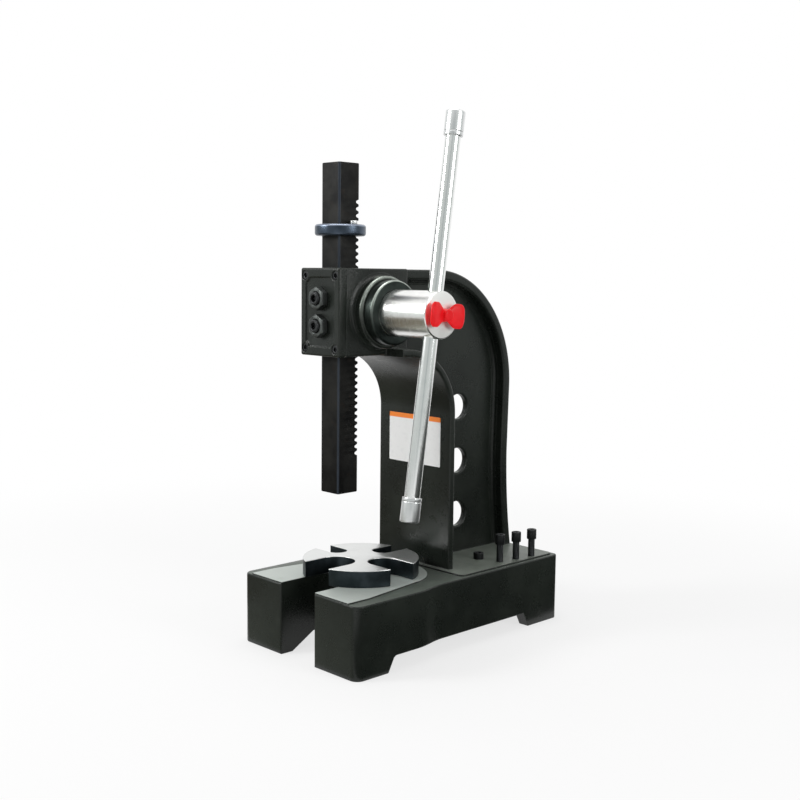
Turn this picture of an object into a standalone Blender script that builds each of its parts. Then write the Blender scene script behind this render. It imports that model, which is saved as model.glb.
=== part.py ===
"""Single-lever arbor press: a forked cast base, a C-shaped column, and a square ram driven by a rack and pinion.

Lengths are in metres and +Z is up. The press is laid out in machine places: the ram's axis is X = Y = 0,
the bench is Z = 0 and the column stands at +Y. The empty called press moves the whole machine so that the
world origin is the centre of the work table's top face.
"""

import math

import bmesh
import bpy
from mathutils import Vector

# What holds for the whole machine
GAP = 0.0003  # left between two pieces that touch
OVERRUN = 0.010  # how far a cutter passes the face that it opens
TURN = 2 * math.pi
SCREW_STEPS = 16  # facets round a small screw

# Ram, and the rack that is cut in its back
RAM_SIDE = 0.050
RAM_LENGTH = 0.609
RAM_EDGE_RADIUS = 0.0045
RACK_MODULE = 0.004
RACK_NOSE_MARGIN = 0.064
RACK_TOP_MARGIN = 0.070
WORK_GAP = 0.135  # from the table to the ram's nose, as it stands

# Pinion shaft and its hub
PINION_TEETH = 14
PRESSURE_ANGLE = math.radians(20)
ADDENDUM_SHARE = 0.95  # of the module, on the rack
DEDENDUM_SHARE = 1.25
PINION_SHIFT_SHARE = 0.20
BACKLASH_SHARE = 0.035  # of the pitch, taken off each flank of the pinion
PINION_FACE = 0.054
HUB_RADIUS = 0.0425
HUB_STAND = 0.116  # hub's end beyond the bushing
HUB_EDGE = 0.003
JOURNAL_STEP = 0.0008  # left journal under the tooth roots

# Column casting
THROAT_DEPTH = 0.198  # ram's axis to the column's face
THROAT_HEIGHT = 0.426  # base top to the underside of the flange
THROAT_RADIUS = 0.115
COLUMN_DEPTH = 0.252
FLANGE_WIDTH = 0.200
FLANGE_THICKNESS = 0.014
FLANGE_NOSE = 0.130  # how far the flange reaches in front of the column's face, under the head
FLANGE_EDGE = 0.0035
RIM_WIDTH = 0.068
RIM_EDGE = 0.0045
RIM_STEP = 0.001  # head's top above the rim's
RIM_THICKNESS = 0.020
RIM_ROUND_DEPTH = 0.220
RIM_ROUND_HEIGHT = 0.2345
RIM_WAIST = 0.004
RIM_WAIST_HEIGHT = 0.205
WEB_THICKNESS = 0.014
WEB_HOLE_RADIUS = 0.026
WEB_HOLE_PITCH = 0.112
WEB_HOLE_COUNT = 3
WEB_HOLE_SETBACK = 0.121
WEB_HOLE_RISE = 0.081
HEAD_WIDTH = 0.1075
HEAD_HEIGHT = 0.161
HEAD_BACK = 0.123
HEAD_EDGE = 0.0025
HEAD_STEP = 0.0015  # flange's underside under the head's
RIGHT_BOSS_RADIUS = 0.067
RIGHT_BOSS_LENGTH = 0.023
LEFT_BOSS_RADIUS = 0.050
LEFT_BOSS_LENGTH = 0.012
BOSS_EDGE = 0.003
COLUMN_FOOT_WIDTH = 0.292
COLUMN_FOOT_THICKNESS = 0.020
COLUMN_FOOT_PROUD = 0.003
COLUMN_FOOT_LIP = 0.010
COLUMN_FOOT_REAR_LIP = 0.003
COLUMN_FOOT_RADIUS = 0.012

# Bushings and what holds the shaft in
RIGHT_BUSHING_WALL = 0.007
RIGHT_BUSHING_FLANGE_RADIUS = 0.060
RIGHT_BUSHING_FLANGE = 0.0205
LEFT_BUSHING_WALL = 0.007
LEFT_BUSHING_FLANGE_RADIUS = 0.040
LEFT_BUSHING_FLANGE = 0.008
RETAINER_RADIUS = 0.034
RETAINER_THICKNESS = 0.008
RETAINER_SCREW_RADIUS = 0.006
RETAINER_HEAD_RADIUS = 0.009
RETAINER_HEAD_HEIGHT = 0.008
RETAINER_SCREW_DEPTH = 0.030

# Front cover, the gib behind it and its adjusters
COVER_THICKNESS = 0.018
COVER_EDGE_RADIUS = 0.004
COVER_RECESS = 0.003
COVER_RECESS_WIDTH = 0.080
COVER_RECESS_HEIGHT = 0.128
COVER_SCALLOP_RADIUS = 0.0115
COVER_SCREW_SPREAD_X = 0.084
COVER_SCREW_SPREAD_Z = 0.133
COVER_SCREW_RADIUS = 0.005
COVER_SCREW_LENGTH = 0.026
COVER_SCREW_HEAD_RADIUS = 0.0080
COVER_SCREW_HEAD_HEIGHT = 0.009
COVER_COUNTERBORE_DEPTH = 0.0105
GIB_THICKNESS = 0.006
GIB_HEIGHT = 0.150
GIB_DIMPLE_DEPTH = 0.003
ADJUSTER_RADIUS = 0.012
ADJUSTER_PITCH = 0.050
ADJUSTER_STAND = 0.005  # beyond its nut
ADJUSTER_POINT_RADIUS = 0.0055
LOCK_NUT_FLATS = 0.038
LOCK_NUT_THICKNESS = 0.013

# Stop collar on the ram
COLLAR_RADIUS = 0.047
COLLAR_THICKNESS = 0.021
COLLAR_EDGE = 0.0045
COLLAR_HEIGHT = 0.0585  # above the head, as it stands
COLLAR_SCREW_RADIUS = 0.004
COLLAR_SCREW_HEAD_RADIUS = 0.007
COLLAR_SCREW_HEAD_HEIGHT = 0.006
COLLAR_SCREW_LENGTH = 0.012

# Lever bar and its end caps
LEVER_RADIUS = 0.014
LEVER_LENGTH = 0.730
LEVER_TILT = math.radians(8.15)  # top towards the back
LEVER_INSET = 0.022  # lever's axis inside the hub's end face
LEVER_SHIFT = -0.004  # lever's middle from the hub's axis, along the lever
CAP_RADIUS = 0.0175
CAP_LENGTH = 0.044
CAP_FLOOR = 0.008
CAP_EDGE = 0.002

# Winged clamp knob in the hub's end
KNOB_BOSS_RADIUS = 0.012
KNOB_BOSS_LENGTH = 0.020
KNOB_EDGE = 0.002
WING_SPREAD = 0.038
WING_ROOT_HEIGHT = 0.018
WING_TIP_HEIGHT = 0.044
WING_TIP_RADIUS = 0.009
WING_THICKNESS = 0.009
WING_EDGE = 0.0015
WING_SWEEP = math.radians(11)
KNOB_TURN = math.radians(5)  # as it stands, back wing down
CLAMP_STUD_RADIUS = 0.007
CLAMP_STUD_GRIP = 0.012  # inside the knob

# Base casting
BASE_FRONT_WIDTH = 0.330
BASE_REAR_WIDTH = 0.308
BASE_FRONT_REACH = 0.1015  # ram's axis to the front face
BASE_REAR_REACH = 0.474
BASE_HEIGHT = 0.136
BASE_FRONT_RADIUS = 0.018
BASE_REAR_RADIUS = 0.010
BASE_JOG_START = 0.052
BASE_JOG_LENGTH = 0.073
SLOT_WIDTH = 0.096
SLOT_BACK = 0.034  # slot's round end, behind the ram's axis
SLOT_MOUTH_RADIUS = 0.004
PAD_RISE = 0.003
PAD_FRONT_WIDTH = 0.278
PAD_REAR_WIDTH = 0.236
PAD_SHOULDER = 0.085
PAD_ROUND_DEPTH = 0.098
FOOT_HEIGHT = 0.030
FRONT_FOOT_DEPTH = 0.082
FRONT_FOOT_INNER_DEPTH = 0.028
REAR_FOOT_DEPTH = 0.092
ARCH_SLOPE = 0.016
ARCH_INNER_SLOPE = 0.052  # along the slot's side
POCKET_WALL = 0.024
POCKET_RIB = 0.020
POCKET_FRONT = 0.125
POCKET_CEILING = 0.034  # iron left above the pocket, under the column's seat
POCKET_RADIUS = 0.015

# Work table and its pivot
TABLE_RADIUS = 0.112
TABLE_THICKNESS = 0.032
TABLE_SETBACK = 0.057  # table's centre behind the ram's axis
TABLE_EDGE = 0.0015
# Notches to +X, +Y, -X and -Y: width, table's centre to the notch's bottom, and shift anticlockwise
NOTCHES = ((0.062, 0.028, 0.006), (0.041, 0.045, 0.008), (0.039, 0.048, 0.002), (0.072, 0.022, -0.006))
PIVOT_RADIUS = 0.012
PIVOT_DEPTH = 0.080  # in the base
PIVOT_GRIP = 0.016  # in the table
PIVOT_EDGE = 0.001

# Screws that hold the column's foot: how far in from its side and from its front edge
LOW_SCREW_INSET = (0.068, 0.122)
LOW_SCREW_RADIUS = 0.007
LOW_SCREW_HEAD_RADIUS = 0.0105
LOW_SCREW_HEAD_HEIGHT = 0.013
TALL_SCREW_INSETS = ((0.024, 0.137), (0.017, 0.179), (0.012, 0.222))
TALL_SCREW_RADIUS = 0.007
TALL_SCREW_HEAD_RADIUS = 0.0098
TALL_SCREW_HEAD_HEIGHT = 0.020
TALL_SCREW_STAND = 0.036  # under the head, above the foot
FOOT_SCREW_GRIP = 0.022  # in the base, under the foot
SOCKET_SHARE = 0.5  # a socket's width across flats, of the head's width
SOCKET_DEPTH_SHARE = 0.5
HEAD_EDGE_SHARE = 0.10

# Places worked out from the sizes above
PAD_TOP = BASE_HEIGHT + PAD_RISE
TABLE_BOTTOM = PAD_TOP + GAP
TABLE_TOP = TABLE_BOTTOM + TABLE_THICKNESS
THROAT_TOP = BASE_HEIGHT + THROAT_HEIGHT
HEAD_BOTTOM = THROAT_TOP + HEAD_STEP
HEAD_TOP = HEAD_BOTTOM + HEAD_HEIGHT
HEAD_MIDDLE = HEAD_BOTTOM + HEAD_HEIGHT / 2
RAM_NOSE = TABLE_TOP + WORK_GAP
RAM_TOP = RAM_NOSE + RAM_LENGTH
GUIDE_HALF = RAM_SIDE / 2 + GAP

PITCH = math.pi * RACK_MODULE
PITCH_RADIUS = PINION_TEETH * RACK_MODULE / 2
RACK_TIP = RAM_SIDE / 2
RACK_DATUM = RACK_TIP - ADDENDUM_SHARE * RACK_MODULE
RACK_ROOT = RACK_DATUM - DEDENDUM_SHARE * RACK_MODULE
PINION_Y = RACK_DATUM + PITCH_RADIUS + PINION_SHIFT_SHARE * RACK_MODULE
PINION_TIP_RADIUS = PITCH_RADIUS + (ADDENDUM_SHARE + PINION_SHIFT_SHARE) * RACK_MODULE
PINION_ROOT_RADIUS = PITCH_RADIUS - (DEDENDUM_SHARE - PINION_SHIFT_SHARE) * RACK_MODULE
JOURNAL_RADIUS = PINION_ROOT_RADIUS - JOURNAL_STEP
PINION_AXIS = Vector((0, PINION_Y, HEAD_MIDDLE))
CAVITY_RADIUS = HUB_RADIUS + GAP
CAVITY_HALF = PINION_FACE / 2 + GAP

HEAD_HALF = HEAD_WIDTH / 2
RIGHT_BOSS_FACE = HEAD_HALF + RIGHT_BOSS_LENGTH
LEFT_BOSS_FACE = -HEAD_HALF - LEFT_BOSS_LENGTH
RIGHT_BORE_RADIUS = HUB_RADIUS + RIGHT_BUSHING_WALL + 2 * GAP
LEFT_BORE_RADIUS = JOURNAL_RADIUS + LEFT_BUSHING_WALL + 2 * GAP
RIGHT_BUSHING_FACE = RIGHT_BOSS_FACE + GAP + RIGHT_BUSHING_FLANGE
LEFT_BUSHING_FACE = LEFT_BOSS_FACE - GAP - LEFT_BUSHING_FLANGE
HUB_END = RIGHT_BUSHING_FACE + HUB_STAND
SHAFT_LEFT_END = LEFT_BUSHING_FACE
LEVER_X = HUB_END - LEVER_INSET

COVER_BACK = -RAM_SIDE / 2 - 2 * GAP - GIB_THICKNESS
COVER_FRONT = COVER_BACK - COVER_THICKNESS
HEAD_FRONT = COVER_BACK + GAP
RECESS_FLOOR = COVER_FRONT + COVER_RECESS
NUT_BACK = RECESS_FLOOR - GAP
NUT_FRONT = NUT_BACK - LOCK_NUT_THICKNESS

COLUMN_FACE = THROAT_DEPTH
COLUMN_REAR = THROAT_DEPTH + COLUMN_DEPTH
FOOT_TOP = BASE_HEIGHT + COLUMN_FOOT_PROUD
FOOT_BOTTOM = FOOT_TOP - COLUMN_FOOT_THICKNESS
FOOT_FRONT = COLUMN_FACE - COLUMN_FOOT_LIP
SEAT_WALL = (BASE_REAR_WIDTH - COLUMN_FOOT_WIDTH) / 2
FOOT_REAR = BASE_REAR_REACH - SEAT_WALL
THROAT_CENTRE = (COLUMN_FACE - THROAT_RADIUS, THROAT_TOP - THROAT_RADIUS)
RIM_TOP = HEAD_TOP - RIM_STEP
RIM_CENTRE = (COLUMN_REAR - RIM_ROUND_DEPTH, RIM_TOP - RIM_ROUND_HEIGHT)
WAIST_Z = FOOT_TOP + RIM_WAIST_HEIGHT
COLLAR_BOTTOM = HEAD_TOP + COLLAR_HEIGHT
COLLAR_SCREW_X = (COLLAR_RADIUS + GUIDE_HALF) / 2


# Materials

def material(name, colour, roughness, metallic=0.0):
    made = bpy.data.materials.new(name)
    made.use_nodes = True
    shader = made.node_tree.nodes["Principled BSDF"]
    shader.inputs["Base Color"].default_value = (*colour, 1)
    shader.inputs["Roughness"].default_value = roughness
    shader.inputs["Metallic"].default_value = metallic
    made.diffuse_color = (*colour, 1)
    return made


# Outlines, in the plane across the direction of extrusion

def arc(centre, radii, start, end, steps):
    """Points on an ellipse's arc, from angle start to angle end, both included."""
    return [
        (
            centre[0] + radii[0] * math.cos(start + (end - start) * i / steps),
            centre[1] + radii[1] * math.sin(start + (end - start) * i / steps),
        )
        for i in range(steps + 1)
    ]


def round_arc(centre, radius, start, end, steps):
    return arc(centre, (radius, radius), start, end, steps)


def rounded_box_outline(low, high, radius, steps=4):
    """A rectangle with round corners, anticlockwise."""
    quarter = TURN / 4
    corners = [
        ((high[0] - radius, low[1] + radius), -quarter),
        ((high[0] - radius, high[1] - radius), 0),
        ((low[0] + radius, high[1] - radius), quarter),
        ((low[0] + radius, low[1] + radius), 2 * quarter),
    ]
    return [
        point
        for centre, start in corners
        for point in round_arc(centre, radius, start, start + quarter, steps)
    ]


def mirrored(outline):
    """The outline's right half, joined to the same points at -X in reverse."""
    return outline + [(-x, y) for x, y in reversed(outline)]


# Solids

AXES = {
    "X": lambda u, v, w: (w, u, v),
    "Y": lambda u, v, w: (u, w, v),
    "Z": lambda u, v, w: (u, v, w),
}


def prism(mesh, outline, axis, low, high):
    """Adds the solid that an outline sweeps from low to high along an axis."""
    place = AXES[axis]
    bottom = [mesh.verts.new(place(u, v, low)) for u, v in outline]
    top = [mesh.verts.new(place(u, v, high)) for u, v in outline]
    mesh.faces.new(bottom)
    mesh.faces.new(top)
    for i in range(len(outline)):
        j = (i + 1) % len(outline)
        mesh.faces.new((bottom[i], bottom[j], top[j], top[i]))


def box(mesh, low, high):
    outline = [(low[0], low[1]), (high[0], low[1]), (high[0], high[1]), (low[0], high[1])]
    prism(mesh, outline, "Z", low[2], high[2])


def turned(mesh, profile, axis, centre=(0, 0), steps=48):
    """Turns (place along the axis, radius) points about an axis through centre.

    A profile that starts and ends on the axis makes a closed solid; any other one is taken as a ring's section.
    """
    place = AXES[axis]
    rings = []
    for along, radius in profile:
        if radius == 0:
            rings.append([mesh.verts.new(place(centre[0], centre[1], along))])
            continue
        ring = round_arc(centre, radius, 0, TURN * (1 - 1 / steps), steps - 1)
        rings.append([mesh.verts.new(place(u, v, along)) for u, v in ring])
    pairs = list(zip(rings, rings[1:]))
    if len(rings[0]) > 1:
        pairs.append((rings[-1], rings[0]))
    for one, other in pairs:
        for i in range(steps):
            j = (i + 1) % steps
            corners = [one[i % len(one)], one[j % len(one)], other[j % len(other)], other[i % len(other)]]
            mesh.faces.new(list(dict.fromkeys(corners)))


def rod(mesh, centre, radius, axis, low, high, steps=32, edge=0.0):
    """A cylinder, with its ends chamfered by edge."""
    profile = [(low, 0), (low, radius), (high, radius), (high, 0)]
    if edge:
        profile = [
            (low, 0), (low, radius - edge), (low + edge, radius),
            (high - edge, radius), (high, radius - edge), (high, 0),
        ]
    turned(mesh, profile, axis, centre, steps)


def sleeve(mesh, centre, inner, outer, axis, low, high, steps=48):
    turned(mesh, [(low, inner), (high, inner), (high, outer), (low, outer)], axis, centre, steps)


def hexagon(centre, flats, turn=0.0):
    radius = flats / math.sqrt(3)
    return round_arc(centre, radius, turn, turn + TURN * 5 / 6, 5)


# Objects

press = bpy.data.objects.new("press", None)


def finish(mesh, name, smooth_angle=math.radians(32)):
    """Turns a bmesh into a mesh whose faces point out, smooth on its round stretches."""
    bmesh.ops.recalc_face_normals(mesh, faces=mesh.faces)
    data = bpy.data.meshes.new(name)
    mesh.to_mesh(data)
    mesh.free()
    data.shade_smooth()
    data.set_sharp_from_angle(angle=smooth_angle)
    return data


def add(name, data, finish_material, parent=press, place=(0, 0, 0), rotation=(0, 0, 0)):
    piece = bpy.data.objects.new(name, data)
    bpy.context.scene.collection.objects.link(piece)
    piece.parent = parent
    piece.location = place
    piece.rotation_euler = rotation
    if finish_material and not data.materials:
        data.materials.append(finish_material)
    return piece


def helper(name, mesh, parent=press, place=(0, 0, 0), rotation=(0, 0, 0)):
    """A solid that only cuts or joins another one."""
    piece = add(name, finish(mesh, name), None, parent, place, rotation)
    piece.hide_render = True
    piece.display_type = "WIRE"
    return piece


def combine(piece, operation, other):
    step = piece.modifiers.new(other.name, "BOOLEAN")
    step.operation = operation
    step.solver = "EXACT"
    step.object = other
    return piece


def cut(piece, other):
    return combine(piece, "DIFFERENCE", other)


def join(piece, other):
    return combine(piece, "UNION", other)


def soften(piece, width, segments=1):
    """Breaks the piece's sharp edges."""
    step = piece.modifiers.new("edges", "BEVEL")
    step.width = width
    step.segments = segments
    step.limit_method = "ANGLE"
    step.angle_limit = math.radians(40)
    return piece


def axis_empty(name, place, parent=press, rotation=(0, 0, 0)):
    marker = bpy.data.objects.new(name, None)
    bpy.context.scene.collection.objects.link(marker)
    marker.empty_display_size = RAM_SIDE
    marker.parent = parent
    marker.location = place
    marker.rotation_euler = rotation
    return marker


# Base casting

def base_outline():
    """The base from above: a square-cornered rear, a wider front and a smooth jog between them."""
    half_front = BASE_FRONT_WIDTH / 2
    half_rear = BASE_REAR_WIDTH / 2
    quarter = TURN / 4
    points = round_arc(
        (half_front - BASE_FRONT_RADIUS, -BASE_FRONT_REACH + BASE_FRONT_RADIUS),
        BASE_FRONT_RADIUS, -quarter, 0, 6,
    )
    steps = 8
    for i in range(steps + 1):
        share = i / steps
        ease = share * share * (3 - 2 * share)
        points.append((half_front + (half_rear - half_front) * ease, BASE_JOG_START + BASE_JOG_LENGTH * share))
    points += round_arc(
        (half_rear - BASE_REAR_RADIUS, BASE_REAR_REACH - BASE_REAR_RADIUS), BASE_REAR_RADIUS, 0, quarter, 4
    )
    return mirrored(points)


def pad_outline():
    """The machined face under the table: straight sides that draw in, and a half-round back."""
    half = PAD_REAR_WIDTH / 2
    sides = [(PAD_FRONT_WIDTH / 2, -BASE_FRONT_REACH + BASE_FRONT_RADIUS / 4), (PAD_FRONT_WIDTH / 2, -SLOT_WIDTH / 2)]
    return mirrored(sides + arc((0, PAD_SHOULDER), (half, PAD_ROUND_DEPTH), 0, TURN / 4 * 0.999, 12))


def slot_outline():
    """The U-shaped slot between the forks, with its mouth's corners broken."""
    half = SLOT_WIDTH / 2
    front = -BASE_FRONT_REACH
    mouth = SLOT_MOUTH_RADIUS
    quarter = TURN / 4
    right = [(half + mouth, front - OVERRUN)]
    right += [(x, y) for x, y in round_arc((half + mouth, front + mouth), mouth, -quarter, -2 * quarter, 3)]
    right += round_arc((0, SLOT_BACK - half), half, 0, quarter * 0.999, 10)
    return mirrored(right)


def arch_cutter():
    """What is open under the base, between its four feet, with sloping ends."""
    mesh = bmesh.new()
    wide = BASE_FRONT_WIDTH / 2 + OVERRUN
    half_slot = SLOT_WIDTH / 2
    front = -BASE_FRONT_REACH
    rear = BASE_REAR_REACH - REAR_FOOT_DEPTH

    def ring(height):
        share = height / FOOT_HEIGHT
        outer = front + FRONT_FOOT_DEPTH + ARCH_SLOPE * share
        inner = front + FRONT_FOOT_INNER_DEPTH + ARCH_INNER_SLOPE * share
        end = rear - ARCH_SLOPE * share
        outline = [(wide, outer), (wide, end), (-wide, end), (-wide, outer), (-half_slot, inner), (half_slot, inner)]
        return [mesh.verts.new((x, y, height)) for x, y in outline]

    low = ring(-OVERRUN)
    high = ring(FOOT_HEIGHT)
    mesh.faces.new(low)
    mesh.faces.new(high)
    for i in range(len(low)):
        j = (i + 1) % len(low)
        mesh.faces.new((low[i], low[j], high[j], high[i]))
    return helper("arch_cutter", mesh)


def foot_screw_places():
    """Every screw through the column's foot, right side first: (x, y)."""
    insets = [LOW_SCREW_INSET, *TALL_SCREW_INSETS]
    places = [(COLUMN_FOOT_WIDTH / 2 - side, FOOT_FRONT + front) for side, front in insets]
    return places + [(-x, y) for x, y in places]


def make_base(paint):
    mesh = bmesh.new()
    prism(mesh, base_outline(), "Z", 0, BASE_HEIGHT)
    base = add("base_casting", finish(mesh, "base_casting"), paint)
    mesh = bmesh.new()
    prism(mesh, pad_outline(), "Z", BASE_HEIGHT - FOOT_HEIGHT, PAD_TOP)
    join(base, helper("pad_joiner", mesh))
    mesh = bmesh.new()
    prism(mesh, slot_outline(), "Z", -OVERRUN, PAD_TOP + OVERRUN)
    cut(base, helper("slot_cutter", mesh))
    cut(base, arch_cutter())

    mesh = bmesh.new()
    pocket_top = FOOT_BOTTOM - POCKET_CEILING
    for side in (1, -1):
        inner = side * POCKET_RIB / 2
        outer = side * (BASE_REAR_WIDTH / 2 - POCKET_WALL)
        outline = rounded_box_outline(
            (min(inner, outer), POCKET_FRONT), (max(inner, outer), BASE_REAR_REACH - POCKET_WALL), POCKET_RADIUS
        )
        prism(mesh, outline, "Z", -OVERRUN, pocket_top)
    cut(base, helper("pocket_cutter", mesh))

    mesh = bmesh.new()
    half = COLUMN_FOOT_WIDTH / 2 + GAP
    seat = rounded_box_outline((-half, FOOT_FRONT - GAP), (half, FOOT_REAR + GAP), COLUMN_FOOT_RADIUS + GAP)
    prism(mesh, seat, "Z", FOOT_BOTTOM - GAP, PAD_TOP + OVERRUN)
    cut(base, helper("seat_cutter", mesh))

    mesh = bmesh.new()
    rod(mesh, (0, TABLE_SETBACK), PIVOT_RADIUS + GAP, "Z", PAD_TOP - PIVOT_DEPTH - GAP, PAD_TOP + OVERRUN)
    for i, (x, y) in enumerate(foot_screw_places()):
        radius = (LOW_SCREW_RADIUS if i % 4 == 0 else TALL_SCREW_RADIUS) + GAP
        rod(mesh, (x, y), radius, "Z", FOOT_BOTTOM - FOOT_SCREW_GRIP - GAP, FOOT_BOTTOM + OVERRUN, 20)
    cut(base, helper("base_hole_cutter", mesh))
    return base


# Column casting

def rim_line(inset):
    """The column's outer contour from the head's back to its foot, inset by a distance: (y, z) points."""
    radii = (RIM_ROUND_DEPTH - inset, RIM_ROUND_HEIGHT - inset)
    points = [(HEAD_BACK - RIM_THICKNESS, RIM_TOP - inset)]
    points += arc(RIM_CENTRE, radii, TURN / 4, 0, 15)
    waist = COLUMN_REAR - RIM_WAIST
    steps = 5
    for i in range(steps + 1):
        share = i / steps
        y = waist + (FOOT_REAR - COLUMN_FOOT_REAR_LIP - waist) * share * share
        points.append((y - inset, WAIST_Z + (FOOT_TOP - WAIST_Z) * share))
    return points


def throat_line(inset):
    """The column's inner contour from the foot up and forward under the head, inset into the iron."""
    radius = THROAT_RADIUS + inset
    points = [(COLUMN_FACE + inset, FOOT_TOP)]
    points += round_arc(THROAT_CENTRE, radius, 0, TURN / 4, 12)
    points.append((COLUMN_FACE - FLANGE_NOSE, THROAT_TOP + inset))
    return points


def foot_drop(points, depth):
    """The line, with its end on the foot carried down into it."""
    last = points[-1]
    return points[:-1] + [last, (last[0], last[1] - depth)]


def band(outer, inner, depth):
    """A closed strip between two lines that both end on the foot."""
    return foot_drop(outer, depth) + list(reversed(foot_drop(inner, depth)))


def make_column(paint):
    sink = COLUMN_FOOT_THICKNESS / 2
    mesh = bmesh.new()
    half = COLUMN_FOOT_WIDTH / 2
    foot = rounded_box_outline((-half, FOOT_FRONT), (half, FOOT_REAR), COLUMN_FOOT_RADIUS)
    prism(mesh, foot, "Z", FOOT_BOTTOM, FOOT_TOP)
    column = add("column_casting", finish(mesh, "column_casting"), paint)

    mesh = bmesh.new()
    box(mesh, (-HEAD_HALF, HEAD_FRONT, HEAD_BOTTOM), (HEAD_HALF, HEAD_BACK, HEAD_TOP))
    join(column, soften(helper("head_joiner", mesh), HEAD_EDGE))

    mesh = bmesh.new()
    face = list(reversed(throat_line(0)))
    back = list(reversed(throat_line(FLANGE_THICKNESS)))
    prism(mesh, band(back, face, sink), "X", -FLANGE_WIDTH / 2, FLANGE_WIDTH / 2)
    join(column, soften(helper("flange_joiner", mesh), FLANGE_EDGE))

    mesh = bmesh.new()
    rim = band(rim_line(0), rim_line(RIM_THICKNESS), sink)
    prism(mesh, rim, "X", -RIM_WIDTH / 2, RIM_WIDTH / 2)
    join(column, soften(helper("rim_joiner", mesh), RIM_EDGE))

    mesh = bmesh.new()
    web = foot_drop(rim_line(RIM_THICKNESS / 2), sink)
    web += list(reversed(foot_drop(list(reversed(throat_line(FLANGE_THICKNESS / 2))), sink)))
    prism(mesh, web, "X", -WEB_THICKNESS / 2, WEB_THICKNESS / 2)
    join(column, helper("web_joiner", mesh))

    mesh = bmesh.new()
    centre = (PINION_AXIS.y, PINION_AXIS.z)
    right = [
        (0, 0), (0, RIGHT_BOSS_RADIUS), (RIGHT_BOSS_FACE - BOSS_EDGE, RIGHT_BOSS_RADIUS),
        (RIGHT_BOSS_FACE, RIGHT_BOSS_RADIUS - BOSS_EDGE), (RIGHT_BOSS_FACE, 0),
    ]
    left = [
        (LEFT_BOSS_FACE, 0), (LEFT_BOSS_FACE, LEFT_BOSS_RADIUS - BOSS_EDGE),
        (LEFT_BOSS_FACE + BOSS_EDGE, LEFT_BOSS_RADIUS), (0, LEFT_BOSS_RADIUS), (0, 0),
    ]
    turned(mesh, right, "X", centre, 48)
    join(column, helper("right_boss_joiner", mesh))
    mesh = bmesh.new()
    turned(mesh, left, "X", centre, 40)
    join(column, helper("left_boss_joiner", mesh))

    mesh = bmesh.new()
    box(
        mesh,
        (-GUIDE_HALF, HEAD_FRONT - OVERRUN, HEAD_BOTTOM - OVERRUN),
        (GUIDE_HALF, GUIDE_HALF, HEAD_TOP + OVERRUN),
    )
    cut(column, helper("guide_cutter", mesh))

    mesh = bmesh.new()
    profile = [
        (LEFT_BOSS_FACE - OVERRUN, 0), (LEFT_BOSS_FACE - OVERRUN, LEFT_BORE_RADIUS), (-CAVITY_HALF, LEFT_BORE_RADIUS),
        (-CAVITY_HALF, CAVITY_RADIUS), (CAVITY_HALF, CAVITY_RADIUS), (CAVITY_HALF, RIGHT_BORE_RADIUS),
        (RIGHT_BOSS_FACE + OVERRUN, RIGHT_BORE_RADIUS), (RIGHT_BOSS_FACE + OVERRUN, 0),
    ]
    turned(mesh, profile, "X", centre, 40)
    for i in range(WEB_HOLE_COUNT):
        middle = (COLUMN_FACE + WEB_HOLE_SETBACK, FOOT_TOP + WEB_HOLE_RISE + i * WEB_HOLE_PITCH)
        rod(mesh, middle, WEB_HOLE_RADIUS, "X", -WEB_THICKNESS / 2 - OVERRUN, WEB_THICKNESS / 2 + OVERRUN, 32)
    for x, z in cover_screw_places():
        depth = HEAD_FRONT + COVER_SCREW_LENGTH + GAP
        rod(mesh, (x, z), COVER_SCREW_RADIUS + GAP, "Y", HEAD_FRONT - OVERRUN, depth, 16)
    for i, (x, y) in enumerate(foot_screw_places()):
        radius = (LOW_SCREW_RADIUS if i % 4 == 0 else TALL_SCREW_RADIUS) + GAP
        rod(mesh, (x, y), radius, "Z", FOOT_BOTTOM - OVERRUN, FOOT_TOP + OVERRUN, 20)
    cut(column, helper("column_bore_cutter", mesh))
    return column


# Screws

def cap_screw(name, head_radius, head_height, shank_radius, under_head, steel, parent, place, rotation=(0, 0, 0)):
    """A socket-head screw that points down -Z from the underside of its head, which is at its origin."""
    mesh = bmesh.new()
    edge = head_radius * HEAD_EDGE_SHARE
    tip = shank_radius * HEAD_EDGE_SHARE
    profile = [
        (-under_head, 0), (-under_head, shank_radius - tip), (tip - under_head, shank_radius), (0, shank_radius),
        (0, head_radius), (head_height - edge, head_radius), (head_height, head_radius - edge), (head_height, 0),
    ]
    turned(mesh, profile, "Z", steps=SCREW_STEPS)
    screw = add(name, finish(mesh, name), steel, parent, place, rotation)
    mesh = bmesh.new()
    floor = head_height * (1 - SOCKET_DEPTH_SHARE)
    prism(mesh, hexagon((0, 0), 2 * head_radius * SOCKET_SHARE), "Z", floor, head_height + OVERRUN)
    return cut(screw, helper(name + "_socket", mesh, parent, place, rotation))


def make_foot_screws(steel):
    grip = COLUMN_FOOT_THICKNESS + GAP + FOOT_SCREW_GRIP
    low = tall = 0
    for i, (x, y) in enumerate(foot_screw_places()):
        if i % 4 == 0:
            low += 1
            cap_screw(
                f"foot_screw_{low}", LOW_SCREW_HEAD_RADIUS, LOW_SCREW_HEAD_HEIGHT, LOW_SCREW_RADIUS,
                grip, steel, press, (x, y, FOOT_TOP + GAP),
            )
            continue
        tall += 1
        cap_screw(
            f"tall_foot_screw_{tall}", TALL_SCREW_HEAD_RADIUS, TALL_SCREW_HEAD_HEIGHT, TALL_SCREW_RADIUS,
            grip + TALL_SCREW_STAND, steel, press, (x, y, FOOT_TOP + TALL_SCREW_STAND),
        )


# Front cover and gib

def cover_screw_places():
    return [
        (side * COVER_SCREW_SPREAD_X / 2, HEAD_MIDDLE + rise * COVER_SCREW_SPREAD_Z / 2)
        for rise in (1, -1)
        for side in (-1, 1)
    ]


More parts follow.
